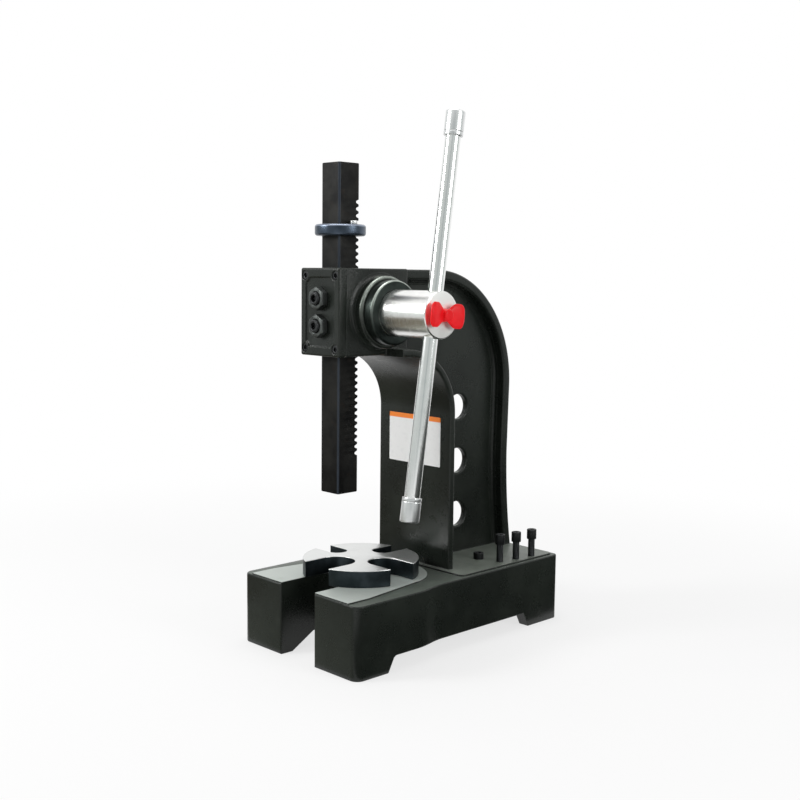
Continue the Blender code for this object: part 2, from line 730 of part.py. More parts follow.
def adjuster_heights():
    return {"upper": HEAD_MIDDLE + ADJUSTER_PITCH / 2, "lower": HEAD_MIDDLE - ADJUSTER_PITCH / 2}


def make_cover(paint, steel):
    mesh = bmesh.new()
    outline = [
        (-HEAD_HALF, COVER_BACK), (-HEAD_HALF, COVER_FRONT + COVER_EDGE_RADIUS),
        *round_arc(
            (-HEAD_HALF + COVER_EDGE_RADIUS, COVER_FRONT + COVER_EDGE_RADIUS),
            COVER_EDGE_RADIUS, TURN / 2, TURN * 3 / 4, 4,
        )[1:],
    ]
    outline += [(-x, y) for x, y in reversed(outline)]
    prism(mesh, outline, "Z", HEAD_BOTTOM, HEAD_TOP)
    cover = add("front_cover", finish(mesh, "front_cover"), paint)

    mesh = bmesh.new()
    half_width = COVER_RECESS_WIDTH / 2
    half_height = COVER_RECESS_HEIGHT / 2
    box(
        mesh,
        (-half_width, COVER_FRONT - OVERRUN, HEAD_MIDDLE - half_height),
        (half_width, RECESS_FLOOR, HEAD_MIDDLE + half_height),
    )
    recess = helper("recess_cutter", mesh)
    mesh = bmesh.new()
    for place in cover_screw_places():
        rod(mesh, place, COVER_SCALLOP_RADIUS, "Y", COVER_FRONT - 2 * OVERRUN, COVER_BACK, 20)
    cut(recess, helper("scallop_cutter", mesh))
    cut(cover, recess)

    mesh = bmesh.new()
    for place in cover_screw_places():
        rod(mesh, place, COVER_SCREW_RADIUS + GAP, "Y", COVER_FRONT - OVERRUN, COVER_BACK + OVERRUN, 16)
    for height in adjuster_heights().values():
        rod(mesh, (0, height), ADJUSTER_RADIUS + GAP, "Y", COVER_FRONT - OVERRUN, COVER_BACK + OVERRUN, 32)
    cut(cover, helper("cover_hole_cutter", mesh))
    mesh = bmesh.new()
    seat = COVER_FRONT + COVER_COUNTERBORE_DEPTH
    for place in cover_screw_places():
        rod(mesh, place, COVER_SCREW_HEAD_RADIUS + GAP, "Y", COVER_FRONT - OVERRUN, seat, 20)
    cut(cover, helper("counterbore_cutter", mesh))

    for i, (x, z) in enumerate(cover_screw_places(), 1):
        under_head = COVER_BACK + COVER_SCREW_LENGTH - seat
        cap_screw(
            f"cover_screw_{i}", COVER_SCREW_HEAD_RADIUS, COVER_SCREW_HEAD_HEIGHT, COVER_SCREW_RADIUS,
            under_head, steel, press, (x, seat - GAP, z), (TURN / 4, 0, 0),
        )
    return cover


def make_gib(steel):
    mesh = bmesh.new()
    back = -RAM_SIDE / 2 - GAP
    half = GIB_HEIGHT / 2
    box(
        mesh,
        (-RAM_SIDE / 2, back - GIB_THICKNESS, HEAD_MIDDLE - half),
        (RAM_SIDE / 2, back, HEAD_MIDDLE + half),
    )
    gib = add("gib_plate", finish(mesh, "gib_plate"), steel)
    mesh = bmesh.new()
    front = back - GIB_THICKNESS
    for height in adjuster_heights().values():
        rod(mesh, (0, height), ADJUSTER_POINT_RADIUS + GAP, "Y", front - OVERRUN, front + GIB_DIMPLE_DEPTH, 24)
    return cut(gib, helper("gib_dimple_cutter", mesh))


def make_adjusters(steel):
    """Two screws through the cover that press the gib on the ram, each locked by a nut."""
    gib_front = -RAM_SIDE / 2 - GAP - GIB_THICKNESS
    for side, height in adjuster_heights().items():
        name = f"gib_screw_{side}"
        length = gib_front - GAP - (NUT_FRONT - ADJUSTER_STAND)
        point = length - GAP + GIB_DIMPLE_DEPTH
        edge = ADJUSTER_RADIUS * HEAD_EDGE_SHARE
        mesh = bmesh.new()
        profile = [
            (0, 0), (0, ADJUSTER_RADIUS - edge), (edge, ADJUSTER_RADIUS), (length - edge, ADJUSTER_RADIUS),
            (length, ADJUSTER_RADIUS - edge), (length, ADJUSTER_POINT_RADIUS), (point, ADJUSTER_POINT_RADIUS), (point, 0),
        ]
        turned(mesh, profile, "Y", steps=24)
        place = (0, NUT_FRONT - ADJUSTER_STAND, height)
        screw = add(name, finish(mesh, name), steel, press, place)
        mesh = bmesh.new()
        prism(mesh, hexagon((0, 0), 2 * ADJUSTER_RADIUS * SOCKET_SHARE), "Y", -OVERRUN, ADJUSTER_RADIUS)
        cut(screw, helper(name + "_socket", mesh, press, place))

        name = f"gib_lock_nut_{side}"
        mesh = bmesh.new()
        prism(mesh, hexagon((0, height), LOCK_NUT_FLATS), "Y", NUT_FRONT, NUT_BACK)
        nut = add(name, finish(mesh, name), steel)
        mesh = bmesh.new()
        corner = LOCK_NUT_FLATS / math.sqrt(3)
        chamfer = corner - LOCK_NUT_FLATS / 2
        profile = [
            (NUT_FRONT - OVERRUN, 0), (NUT_FRONT - OVERRUN, corner - 2 * chamfer), (NUT_FRONT, corner - 2 * chamfer),
            (NUT_FRONT + chamfer, corner + chamfer), (NUT_BACK + OVERRUN, corner + chamfer), (NUT_BACK + OVERRUN, 0),
        ]
        turned(mesh, profile, "Y", (0, height), 48)
        combine(nut, "INTERSECT", helper(name + "_chamfer", mesh))
        mesh = bmesh.new()
        rod(mesh, (0, height), ADJUSTER_RADIUS + GAP, "Y", NUT_FRONT - OVERRUN, NUT_BACK + OVERRUN, 32)
        cut(nut, helper(name + "_bore", mesh))


# Ram and stop collar

def rack_outline():
    """The ram from the side, as (y, z): square at both ends, with rack teeth between them on the +Y face.

    The tooth spaces are counted from the pinion's height, so that rack and pinion are always in mesh.
    """
    half = RAM_SIDE / 2
    nose, top = 0, RAM_LENGTH
    mesh_height = HEAD_MIDDLE - RAM_NOSE
    slope = math.tan(PRESSURE_ANGLE)
    at_datum = PITCH / 4
    at_tip = at_datum + slope * (RACK_TIP - RACK_DATUM)
    at_root = at_datum - slope * (RACK_DATUM - RACK_ROOT)
    first = math.ceil((nose + RACK_NOSE_MARGIN - mesh_height) / PITCH)
    last = math.floor((top - RACK_TOP_MARGIN - mesh_height) / PITCH)
    points = [(-half, nose), (half, nose)]
    for i in range(first, last + 1):
        middle = mesh_height + i * PITCH
        points += [
            (RACK_TIP, middle - at_tip), (RACK_ROOT, middle - at_root),
            (RACK_ROOT, middle + at_root), (RACK_TIP, middle + at_tip),
        ]
    return points + [(half, top), (-half, top)]


def make_ram(steel):
    mesh = bmesh.new()
    prism(mesh, rack_outline(), "X", -RAM_SIDE, RAM_SIDE)
    ram = add("ram", finish(mesh, "ram"), steel, press, (0, 0, RAM_NOSE))
    mesh = bmesh.new()
    half = RAM_SIDE / 2
    outline = rounded_box_outline((-half, -half), (half, half), RAM_EDGE_RADIUS, 2)
    prism(mesh, outline, "Z", -OVERRUN, RAM_LENGTH + OVERRUN)
    return combine(ram, "INTERSECT", helper("ram_edge_shape", mesh, press, (0, 0, RAM_NOSE)))


def make_collar(steel, bright):
    """A round stop with a square hole, clamped on the ram above the head."""
    place = (0, 0, COLLAR_BOTTOM)
    mesh = bmesh.new()
    rod(mesh, (0, 0), COLLAR_RADIUS, "Z", 0, COLLAR_THICKNESS, 40, COLLAR_EDGE)
    collar = add("stop_collar", finish(mesh, "stop_collar"), steel, press, place)
    mesh = bmesh.new()
    box(mesh, (-GUIDE_HALF, -GUIDE_HALF, -OVERRUN), (GUIDE_HALF, GUIDE_HALF, COLLAR_THICKNESS + OVERRUN))
    depth = COLLAR_THICKNESS - COLLAR_SCREW_LENGTH - GAP
    rod(mesh, (COLLAR_SCREW_X, 0), COLLAR_SCREW_RADIUS + GAP, "Z", depth, COLLAR_THICKNESS + OVERRUN, 16)
    cut(collar, helper("collar_cutter", mesh, press, place))
    head = (COLLAR_SCREW_X, 0, COLLAR_BOTTOM + COLLAR_THICKNESS + GAP)
    cap_screw(
        "collar_screw", COLLAR_SCREW_HEAD_RADIUS, COLLAR_SCREW_HEAD_HEIGHT, COLLAR_SCREW_RADIUS,
        COLLAR_SCREW_LENGTH, bright, press, head,
    )


# Pinion shaft, its bushings and its retainer

def involute(angle):
    return math.tan(angle) - angle


def pinion_outline():
    """The pinion from its end, as (y, z) about its axis, with the middle of a tooth at -Y, towards the rack.

    Each flank is an involute of the base circle, thinned by the backlash, and runs straight in below it.
    """
    base_radius = PITCH_RADIUS * math.cos(PRESSURE_ANGLE)
    thickness = PITCH / 2 + 2 * PINION_SHIFT_SHARE * RACK_MODULE * math.tan(PRESSURE_ANGLE)
    thickness -= 2 * BACKLASH_SHARE * PITCH
    half_angle = thickness / (2 * PITCH_RADIUS) + involute(PRESSURE_ANGLE)
    start = max(base_radius, PINION_ROOT_RADIUS)
    steps = 5
    flank = [(PINION_ROOT_RADIUS, half_angle - involute(math.acos(min(1, base_radius / start))))]
    for i in range(steps + 1):
        radius = start + (PINION_TIP_RADIUS - start) * i / steps
        flank.append((radius, half_angle - involute(math.acos(base_radius / radius))))
    points = []
    for tooth in range(PINION_TEETH):
        middle = TURN / 2 + TURN * tooth / PINION_TEETH
        sides = [(r, middle - a) for r, a in flank] + [(r, middle + a) for r, a in reversed(flank)]
        points += [(r * math.cos(a), r * math.sin(a)) for r, a in sides]
    return points


def make_pinion(chrome, pinion_axis):
    mesh = bmesh.new()
    prism(mesh, pinion_outline(), "X", -PINION_FACE / 2, PINION_FACE / 2 + RACK_MODULE)
    shaft = add("pinion_shaft", finish(mesh, "pinion_shaft"), chrome, pinion_axis)
    mesh = bmesh.new()
    face = PINION_FACE / 2
    profile = [
        (SHAFT_LEFT_END, 0), (SHAFT_LEFT_END, JOURNAL_RADIUS), (face, JOURNAL_RADIUS), (face, HUB_RADIUS),
        (HUB_END - HUB_EDGE, HUB_RADIUS), (HUB_END, HUB_RADIUS - HUB_EDGE), (HUB_END, 0),
    ]
    turned(mesh, profile, "X", steps=56)
    join(shaft, helper("shaft_joiner", mesh, pinion_axis))

    mesh = bmesh.new()
    reach = HUB_RADIUS + OVERRUN
    rod(mesh, (0, 0), LEVER_RADIUS + GAP, "Z", -reach, reach, 40)
    place = (LEVER_X, 0, 0)
    cut(shaft, helper("lever_bore_cutter", mesh, pinion_axis, place, (-LEVER_TILT, 0, 0)))
    mesh = bmesh.new()
    rod(mesh, (0, 0), CLAMP_STUD_RADIUS + GAP, "X", LEVER_X, HUB_END + OVERRUN, 24)
    rod(
        mesh, (0, 0), RETAINER_SCREW_RADIUS + GAP, "X",
        SHAFT_LEFT_END - OVERRUN, SHAFT_LEFT_END + RETAINER_SCREW_DEPTH + GAP, 20,
    )
    return cut(shaft, helper("shaft_hole_cutter", mesh, pinion_axis))


def make_bushings(bronze, blued):
    centre = (PINION_AXIS.y, PINION_AXIS.z)
    inner = HUB_RADIUS + GAP
    outer = inner + RIGHT_BUSHING_WALL
    flange = RIGHT_BOSS_FACE + GAP
    profile = [
        (CAVITY_HALF + GAP, inner), (RIGHT_BUSHING_FACE, inner),
        (RIGHT_BUSHING_FACE, RIGHT_BUSHING_FLANGE_RADIUS - BOSS_EDGE),
        (RIGHT_BUSHING_FACE - BOSS_EDGE, RIGHT_BUSHING_FLANGE_RADIUS), (flange, RIGHT_BUSHING_FLANGE_RADIUS),
        (flange, outer), (CAVITY_HALF + GAP, outer),
    ]
    mesh = bmesh.new()
    turned(mesh, profile, "X", centre, 48)
    add("right_bushing", finish(mesh, "right_bushing"), blued)

    inner = JOURNAL_RADIUS + GAP
    outer = inner + LEFT_BUSHING_WALL
    flange = LEFT_BOSS_FACE - GAP
    profile = [
        (-CAVITY_HALF - GAP, inner), (LEFT_BUSHING_FACE + GAP, inner),
        (LEFT_BUSHING_FACE + GAP, LEFT_BUSHING_FLANGE_RADIUS), (flange, LEFT_BUSHING_FLANGE_RADIUS),
        (flange, outer), (-CAVITY_HALF - GAP, outer),
    ]
    mesh = bmesh.new()
    turned(mesh, profile, "X", centre, 36)
    add("left_bushing", finish(mesh, "left_bushing"), bronze)


def make_retainer(steel, pinion_axis):
    """The washer and screw on the shaft's left end that keep it in."""
    mesh = bmesh.new()
    high = SHAFT_LEFT_END - GAP
    sleeve(
        mesh, (0, 0), RETAINER_SCREW_RADIUS + GAP, RETAINER_RADIUS, "X", high - RETAINER_THICKNESS, high, 32
    )
    add("shaft_retainer", finish(mesh, "shaft_retainer"), steel, pinion_axis)
    under_head = GAP + RETAINER_THICKNESS + GAP + RETAINER_SCREW_DEPTH
    cap_screw(
        "retainer_screw", RETAINER_HEAD_RADIUS, RETAINER_HEAD_HEIGHT, RETAINER_SCREW_RADIUS, under_head, steel,
        pinion_axis, (high - RETAINER_THICKNESS - GAP, 0, 0), (0, -TURN / 4, 0),
    )


# Lever

def make_lever(chrome, zinc, lever_axis):
    """A bar that slides through the hub, between two caps pressed on its ends."""
    low = LEVER_SHIFT - LEVER_LENGTH / 2
    high = LEVER_SHIFT + LEVER_LENGTH / 2
    inset = CAP_FLOOR + GAP
    mesh = bmesh.new()
    rod(mesh, (0, 0), LEVER_RADIUS, "Z", low + inset, high - inset, 40)
    add("lever_bar", finish(mesh, "lever_bar"), chrome, lever_axis)
    for name, end, inward in (("lever_cap_upper", high, -1), ("lever_cap_lower", low, 1)):
        mouth = end + inward * CAP_LENGTH
        floor = end + inward * CAP_FLOOR
        bore = LEVER_RADIUS + GAP
        profile = [
            (end, 0), (end, CAP_RADIUS - CAP_EDGE), (end + inward * CAP_EDGE, CAP_RADIUS), (mouth, CAP_RADIUS),
            (mouth, bore), (floor, bore), (floor, 0),
        ]
        mesh = bmesh.new()
        turned(mesh, profile, "Z", steps=32)
        add(name, finish(mesh, name), zinc, lever_axis)


# Winged clamp knob

def wing_outline():
    """One wing, as (distance from the axis, height): narrow at the root, wide and round-cornered at the tip."""
    root = WING_ROOT_HEIGHT / 2
    tip = WING_TIP_HEIGHT / 2
    centre = (WING_SPREAD - WING_TIP_RADIUS, tip - WING_TIP_RADIUS)
    lean = math.atan2(tip - root, WING_SPREAD)
    upper = [(0, root)] + round_arc(centre, WING_TIP_RADIUS, TURN / 4 + lean, 0, 5)
    return upper + [(u, -v) for u, v in reversed(upper)]


def make_knob(red, steel, knob_axis):
    mesh = bmesh.new()
    rod(mesh, (0, 0), KNOB_BOSS_RADIUS, "X", GAP, KNOB_BOSS_LENGTH, 32, KNOB_EDGE)
    knob = add("wing_knob", finish(mesh, "wing_knob"), red, knob_axis)
    middle = KNOB_BOSS_LENGTH / 2
    for side, name in ((1, "wing_back_joiner"), (-1, "wing_front_joiner")):
        mesh = bmesh.new()
        outline = [(side * u, v) for u, v in wing_outline()]
        prism(mesh, outline, "X", -WING_THICKNESS / 2, WING_THICKNESS / 2)
        wing = helper(name, mesh, knob_axis, (middle, 0, 0), (0, 0, -side * WING_SWEEP))
        join(knob, soften(wing, WING_EDGE))
    mesh = bmesh.new()
    rod(mesh, (0, 0), CLAMP_STUD_RADIUS + GAP, "X", -OVERRUN, CLAMP_STUD_GRIP + GAP, 24)
    cut(knob, helper("knob_bore_cutter", mesh, knob_axis))

    mesh = bmesh.new()
    rod(mesh, (0, 0), CLAMP_STUD_RADIUS, "X", LEVER_RADIUS + GAP - LEVER_INSET, CLAMP_STUD_GRIP, 24)
    add("clamp_stud", finish(mesh, "clamp_stud"), steel, knob_axis)


# Work table

def table_outline():
    """A disc with four round-bottomed notches of unlike sizes, each open at the rim."""
    points = []
    steps = 8
    for i, (width, floor, shift) in enumerate(NOTCHES):
        half = width / 2
        start = math.asin((shift - half) / TABLE_RADIUS)
        end = math.asin((shift + half) / TABLE_RADIUS)
        notch = [(TABLE_RADIUS * math.cos(start), shift - half)]
        notch += round_arc((floor + half, shift), half, -TURN / 4, -TURN * 3 / 4, steps)
        next_width, _, next_shift = NOTCHES[(i + 1) % len(NOTCHES)]
        next_start = math.asin((next_shift - next_width / 2) / TABLE_RADIUS)
        notch += round_arc((0, 0), TABLE_RADIUS, end, TURN / 4 + next_start, steps)[:-1]
        turn_cos, turn_sin = math.cos(TURN / 4 * i), math.sin(TURN / 4 * i)
        points += [(x * turn_cos - y * turn_sin, x * turn_sin + y * turn_cos) for x, y in notch]
    return points


def make_table(steel, pin_steel):
    place = (0, TABLE_SETBACK, TABLE_BOTTOM)
    mesh = bmesh.new()
    prism(mesh, table_outline(), "Z", 0, TABLE_THICKNESS)
    table = soften(add("work_table", finish(mesh, "work_table"), steel, press, place), TABLE_EDGE)
    mesh = bmesh.new()
    rod(mesh, (0, 0), PIVOT_RADIUS + GAP, "Z", -OVERRUN, PIVOT_GRIP + GAP, 32)
    cut(table, helper("table_bore_cutter", mesh, press, place))
    mesh = bmesh.new()
    rod(mesh, (0, TABLE_SETBACK), PIVOT_RADIUS, "Z", PAD_TOP - PIVOT_DEPTH, TABLE_BOTTOM + PIVOT_GRIP, 32, PIVOT_EDGE)
    add("table_pivot_pin", finish(mesh, "table_pivot_pin"), pin_steel)


def main():
    for old in list(bpy.data.objects):
        if old is not press:
            bpy.data.objects.remove(old)
    bpy.context.scene.collection.objects.link(press)
    press.location = (0, -TABLE_SETBACK, -TABLE_TOP)

    paint = material("black_paint", (0.030, 0.034, 0.031), 0.42)
    oxide = material("black_oxide", (0.028, 0.026, 0.026), 0.38, 0.8)
    blued = material("blued_steel", (0.055, 0.065, 0.090), 0.34, 0.9)
    bright = material("bright_steel", (0.72, 0.72, 0.71), 0.28, 1.0)
    ground = material("ground_steel", (0.62, 0.63, 0.63), 0.35, 1.0)
    chrome = material("chrome", (0.78, 0.78, 0.78), 0.10, 1.0)
    bronze = material("bronze", (0.50, 0.32, 0.13), 0.40, 1.0)
    red = material("red_plastic", (0.70, 0.020, 0.030), 0.30)

    pinion_axis = axis_empty("pinion_axis", PINION_AXIS)
    lever_axis = axis_empty("lever_axis", (LEVER_X, 0, 0), pinion_axis, (-LEVER_TILT, 0, 0))
    knob_axis = axis_empty("knob_axis", (HUB_END, 0, 0), pinion_axis, (-KNOB_TURN, 0, 0))

    make_base(paint)
    make_column(paint)
    make_foot_screws(oxide)
    make_cover(paint, oxide)
    make_gib(ground)
    make_adjusters(oxide)
    make_ram(oxide)
    make_collar(blued, bright)
    make_pinion(chrome, pinion_axis)
    make_bushings(bronze, blued)
    make_retainer(oxide, pinion_axis)
    make_lever(chrome, bright, lever_axis)
    make_knob(red, oxide, knob_axis)
    make_table(ground, oxide)


main()
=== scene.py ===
# %% [markdown]
# # A single-lever arbor press
#
# This press pushes a square ram down onto a notched round table. A long bar turns a shaft, a pinion on the
# shaft drives a rack in the ram's back, and a heavy C-shaped iron casting holds everything in line. The
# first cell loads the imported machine, so that every piece made here lands where the machine's own is.

import math

import bmesh
import bpy
import numpy as np
from mathutils import Matrix, Vector


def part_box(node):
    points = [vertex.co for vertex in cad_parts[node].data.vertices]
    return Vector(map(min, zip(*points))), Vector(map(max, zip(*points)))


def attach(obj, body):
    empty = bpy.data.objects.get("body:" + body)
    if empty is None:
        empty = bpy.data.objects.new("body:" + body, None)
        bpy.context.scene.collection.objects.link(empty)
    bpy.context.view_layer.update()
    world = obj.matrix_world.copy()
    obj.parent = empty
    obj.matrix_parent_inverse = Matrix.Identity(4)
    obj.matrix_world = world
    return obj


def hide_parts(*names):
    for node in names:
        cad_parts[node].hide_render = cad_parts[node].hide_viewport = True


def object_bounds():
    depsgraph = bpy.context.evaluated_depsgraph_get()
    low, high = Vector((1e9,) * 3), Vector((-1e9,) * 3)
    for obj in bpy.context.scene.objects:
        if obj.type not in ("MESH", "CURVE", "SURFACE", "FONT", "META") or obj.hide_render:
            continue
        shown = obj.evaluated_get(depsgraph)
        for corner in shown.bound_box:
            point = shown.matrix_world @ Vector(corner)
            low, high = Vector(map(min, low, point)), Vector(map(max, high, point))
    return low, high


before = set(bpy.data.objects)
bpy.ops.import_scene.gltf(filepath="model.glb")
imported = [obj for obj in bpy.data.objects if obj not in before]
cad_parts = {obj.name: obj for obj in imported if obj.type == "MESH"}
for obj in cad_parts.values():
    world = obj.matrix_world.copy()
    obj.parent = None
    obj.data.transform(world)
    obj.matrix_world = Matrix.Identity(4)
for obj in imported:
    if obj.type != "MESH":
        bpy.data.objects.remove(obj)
machine_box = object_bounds()
print("machine from", [round(v, 4) for v in machine_box[0]], "to", [round(v, 4) for v in machine_box[1]])

# %% [markdown]
# ## Places
#
# A press is laid out from two lines: the ram's axis, which stands upright, and the pinion's axis, which
# crosses behind it. The workshop drawing counts heights from the bench, so the cells below do too, and one
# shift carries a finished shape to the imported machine, whose zero is the middle of the table's top.

# %% Drawing sizes, in metres from the ram's axis and the bench
TURN = 2 * math.pi
GAP = 0.0003
ORIGIN = np.array([0.0, -0.057, machine_box[0].z])

BASE_TOP, PAD_TOP, TABLE_TOP = 0.136, 0.139, 0.1713
FOOT_BOTTOM, FOOT_FRONT, FOOT_REAR, FOOT_HALF = 0.119, 0.188, 0.466, 0.146
BASE_FRONT, BASE_REAR = -0.1015, 0.474
FLANGE_FACE, COLUMN_REAR, THROAT_RADIUS, FLANGE_UNDER = 0.198, 0.450, 0.115, 0.562
HEAD_HALF, HEAD_BACK, HEAD_BOTTOM, HEAD_TOP = 0.05375, 0.123, 0.5635, 0.7245
HEAD_MIDDLE = (HEAD_BOTTOM + HEAD_TOP) / 2
COVER_BACK, COVER_FRONT, RECESS_FLOOR = -0.0316, -0.0496, -0.0466
RAM_HALF, RAM_NOSE, RAM_TOP = 0.025, 0.3063, 0.9153
PINION_Y, PINION_Z = 0.05, HEAD_MIDDLE
HUB_RADIUS, HUB_END, BUSHING_FACE, BOSS_FACE = 0.0425, 0.21355, 0.09755, 0.07675
LEVER_X, LEVER_TILT, LEVER_RADIUS, CAP_RADIUS = HUB_END - 0.022, math.radians(8.15), 0.014, 0.0175
SHAFT_LINE = (PINION_Y, PINION_Z)
MODULE, PRESSURE_ANGLE = 0.004, math.radians(20)
PITCH = math.pi * MODULE
RIGHT_BOSS, LEFT_BOSS, LEFT_BOSS_FACE = 0.067, 0.050, -0.06575
WEB_HALF, FLANGE_HALF, RIM_HALF = 0.007, 0.100, 0.034
TABLE_RADIUS, TABLE_Y = 0.112, 0.057
print("hub's end at X", HUB_END, "and lever's axis at X", LEVER_X)

# %% [markdown]
# ## Shapes as arrays
#
# Almost every piece of a machine tool is an outline carried along a line, or a profile turned on a lathe.
# Both are functions of two numbers, the station along the piece and the place round it, so numpy can work
# out all their points at once. A shape here is a pair: its points, and its faces grouped by how many
# corners they have.

# %% From a grid of points to a closed skin
def skin(rings, closed_path=False, start=None, end=None):
    """Four-cornered faces between neighbouring rings of a (stations, sides, 3) array.

    Each ring closes on itself. Start and end are None for an open end, "flat" for one face across the ring,
    or a point, to which the ring then runs in a fan.
    """
    rings = np.asarray(rings, float)
    stations, sides = rings.shape[:2]
    index = np.arange(stations * sides).reshape(stations, sides)
    here = index if closed_path else index[:-1]
    there = np.roll(index, -1, 0) if closed_path else index[1:]
    quads = np.stack([here, np.roll(here, -1, 1), np.roll(there, -1, 1), there], -1).reshape(-1, 4)
    points, faces = rings.reshape(-1, 3), [quads]
    for cap, ring in ((start, index[0][::-1]), (end, index[-1])):
        if cap is None:
            continue
        if isinstance(cap, str):
            faces.append(ring[None, :])
            continue
        faces.append(np.stack([ring, np.roll(ring, -1), np.full(sides, len(points))], -1))
        points = np.vstack([points, cap])
    return points, faces


def along(axis, across, level):
    """Points (u, v) of an outline, at a level along X, Y or Z."""
    u, v = across[..., 0], across[..., 1]
    level = np.broadcast_to(level, u.shape)
    order = {"X": (level, u, v), "Y": (u, level, v), "Z": (u, v, level)}[axis]
    return np.stack(order, -1)


def arc(centre, radii, start, end, steps):
    """An ellipse's arc: centre plus (radius times cosine, radius times sine) of angles from start to end."""
    angle = np.linspace(start, end, steps + 1)
    return np.stack([centre[0] + radii[0] * np.cos(angle), centre[1] + radii[1] * np.sin(angle)], 1)


def mirrored(half):
    """A right-hand half outline, and the same points at -u in reverse."""
    return np.vstack([half, half[::-1] * [-1, 1]])


def rounded_box(low, high, radius, steps=8):
    """A rectangle with a quarter circle at each corner, anticlockwise."""
    (x0, y0), (x1, y1) = low, high
    left, right, bottom, top = x0 + radius, x1 - radius, y0 + radius, y1 - radius
    corners = ((right, bottom), (right, top), (left, top), (left, bottom))
    starts = TURN / 4 * np.arange(-1, 3)
    return np.vstack([arc(c, (radius, radius), a, a + TURN / 4, steps) for c, a in zip(corners, starts)])


def inset(outline, distance):
    """Moves every side of an anticlockwise outline inwards by the distance.

    A corner moves along the sum of its two sides' normals, divided by one plus their product.
    """
    side = np.roll(outline, -1, 0) - outline
    side = side / np.linalg.norm(side, axis=1, keepdims=True)
    normal = np.stack([-side[:, 1], side[:, 0]], 1)
    before = np.roll(normal, 1, 0)
    mitre = (normal + before) / (1 + (normal * before).sum(1, keepdims=True))
    return outline + mitre * distance


def quarter_edge(size, steps=5):
    """A rounded edge: how far the outline draws in, and how far it has risen, over a quarter circle."""
    angle = np.linspace(0, TURN / 4, steps + 1)
    return size * (1 - np.sin(angle)), size * (1 - np.cos(angle))


def plate(outline, axis, low, high, low_edge=0.0005, high_edge=0.0005):
    """An outline carried from low to high, with a rounded edge at each end."""
    draw_low, rise_low = quarter_edge(low_edge)
    draw_high, rise_high = quarter_edge(high_edge)
    draws = np.concatenate([draw_low, draw_high[::-1]])
    levels = np.concatenate([low + rise_low, high - rise_high[::-1]])
    rings = [along(axis, inset(outline, draw), level) for draw, level in zip(draws, levels)]
    return skin(rings, start="flat", end="flat")


def eased(profile, radius, steps=4, closed=False):
    """Rounds a profile's corners: each becomes a parabola that starts and ends a radius away from it."""
    profile = np.asarray(profile, float)
    before, after = np.roll(profile, 1, 0), np.roll(profile, -1, 0)
    reach_before = np.linalg.norm(before - profile, axis=1, keepdims=True)
    reach_after = np.linalg.norm(after - profile, axis=1, keepdims=True)
    wanted = np.reshape(np.broadcast_to(radius, len(profile)), (-1, 1))
    cut = np.minimum(wanted, 0.48 * np.minimum(reach_before, reach_after))
    first = profile + (before - profile) / reach_before * cut
    last = profile + (after - profile) / reach_after * cut
    t = np.linspace(0, 1, steps + 1)[None, :, None]
    curve = (1 - t) ** 2 * first[:, None] + 2 * t * (1 - t) * profile[:, None] + t ** 2 * last[:, None]
    if closed:
        return curve.reshape(-1, 2)
    return np.vstack([profile[:1], curve[1:-1].reshape(-1, 2), profile[-1:]])


def lathe(profile, axis="X", centre=(0.0, 0.0), sides=96):
    """Turns (place along the axis, radius) points: centre plus radius times (cosine, sine) of the angle.

    A radius may be an array over the sides, for a hexagon or a thread. A profile that begins and ends on the
    axis is closed by poles, and any other one is the section of a ring.
    """
    angle = np.arange(sides) * TURN / sides
    circle = np.stack([np.cos(angle), np.sin(angle)], 1)
    level = np.array([p[0] for p in profile], float)
    radius = np.stack([np.broadcast_to(p[1], sides) for p in profile])
    on_axis = radius.max(1) < 1e-9
    poles = [along(axis, np.array(centre, float), level[i]) if on_axis[i] else None for i in (0, -1)]
    keep = ~on_axis
    rings = along(axis, np.array(centre) + radius[keep][..., None] * circle, level[keep][:, None])
    return skin(rings, closed_path=not on_axis.any(), start=poles[0], end=poles[1])


def round_bar(low, high, radius, axis="X", centre=SHAFT_LINE, sides=80):
    """A plain cylinder from low to high, with flat ends that run to the axis."""
    return lathe([(low, 0), (low, radius), (high, radius), (high, 0)], axis, centre, sides)


print("quarter edge of 3 mm:", [round(float(v) * 1000, 2) for v in quarter_edge(0.003)[0]])

# %% [markdown]
# ## From a shape to a piece
#
# A casting is one lump of iron, but it is drawn as a few plain solids that run into each other: a foot, a
# web, a rim, a head. They can stay separate skins inside one object, because the shader rounds the creases
# between them. Where one solid is cut out of another, such as a bore, a Boolean is the safe way, and its
# result is read back as arrays.

# %% Cut, turn and join shapes
def mesh_of(name, *shapes):
    """One mesh from several shapes: points stacked, and each shape's faces counted on from those before."""
    starts = np.cumsum([0] + [len(points) for points, _ in shapes[:-1]])
    groups = [group + start for (_, own), start in zip(shapes, starts) for group in own]
    faces = [face for group in groups for face in group.tolist()]
    data = bpy.data.meshes.new(name)
    data.from_pydata(np.vstack([points for points, _ in shapes]), [], faces)
    work = bmesh.new()
    work.from_mesh(data)
    bmesh.ops.remove_doubles(work, verts=work.verts, dist=0.000002)
    bmesh.ops.recalc_face_normals(work, faces=work.faces)
    work.to_mesh(data)
    work.free()
    return data


def shape_of(data):
    """The points and faces of a mesh, the faces grouped by their number of corners."""
    points = np.empty(len(data.vertices) * 3)
    data.vertices.foreach_get("co", points)
    corners = np.empty(len(data.loops), int)
    data.loops.foreach_get("vertex_index", corners)
    starts, counts = np.empty(len(data.polygons), int), np.empty(len(data.polygons), int)
    data.polygons.foreach_get("loop_start", starts)
    data.polygons.foreach_get("loop_total", counts)
    groups = [corners[starts[counts == n][:, None] + np.arange(n)] for n in np.unique(counts)]
    return points.reshape(-1, 3), groups


def placed(name, data):
    """A new object in the scene."""
    made = bpy.data.objects.new(name, data)
    bpy.context.scene.collection.objects.link(made)
    return made


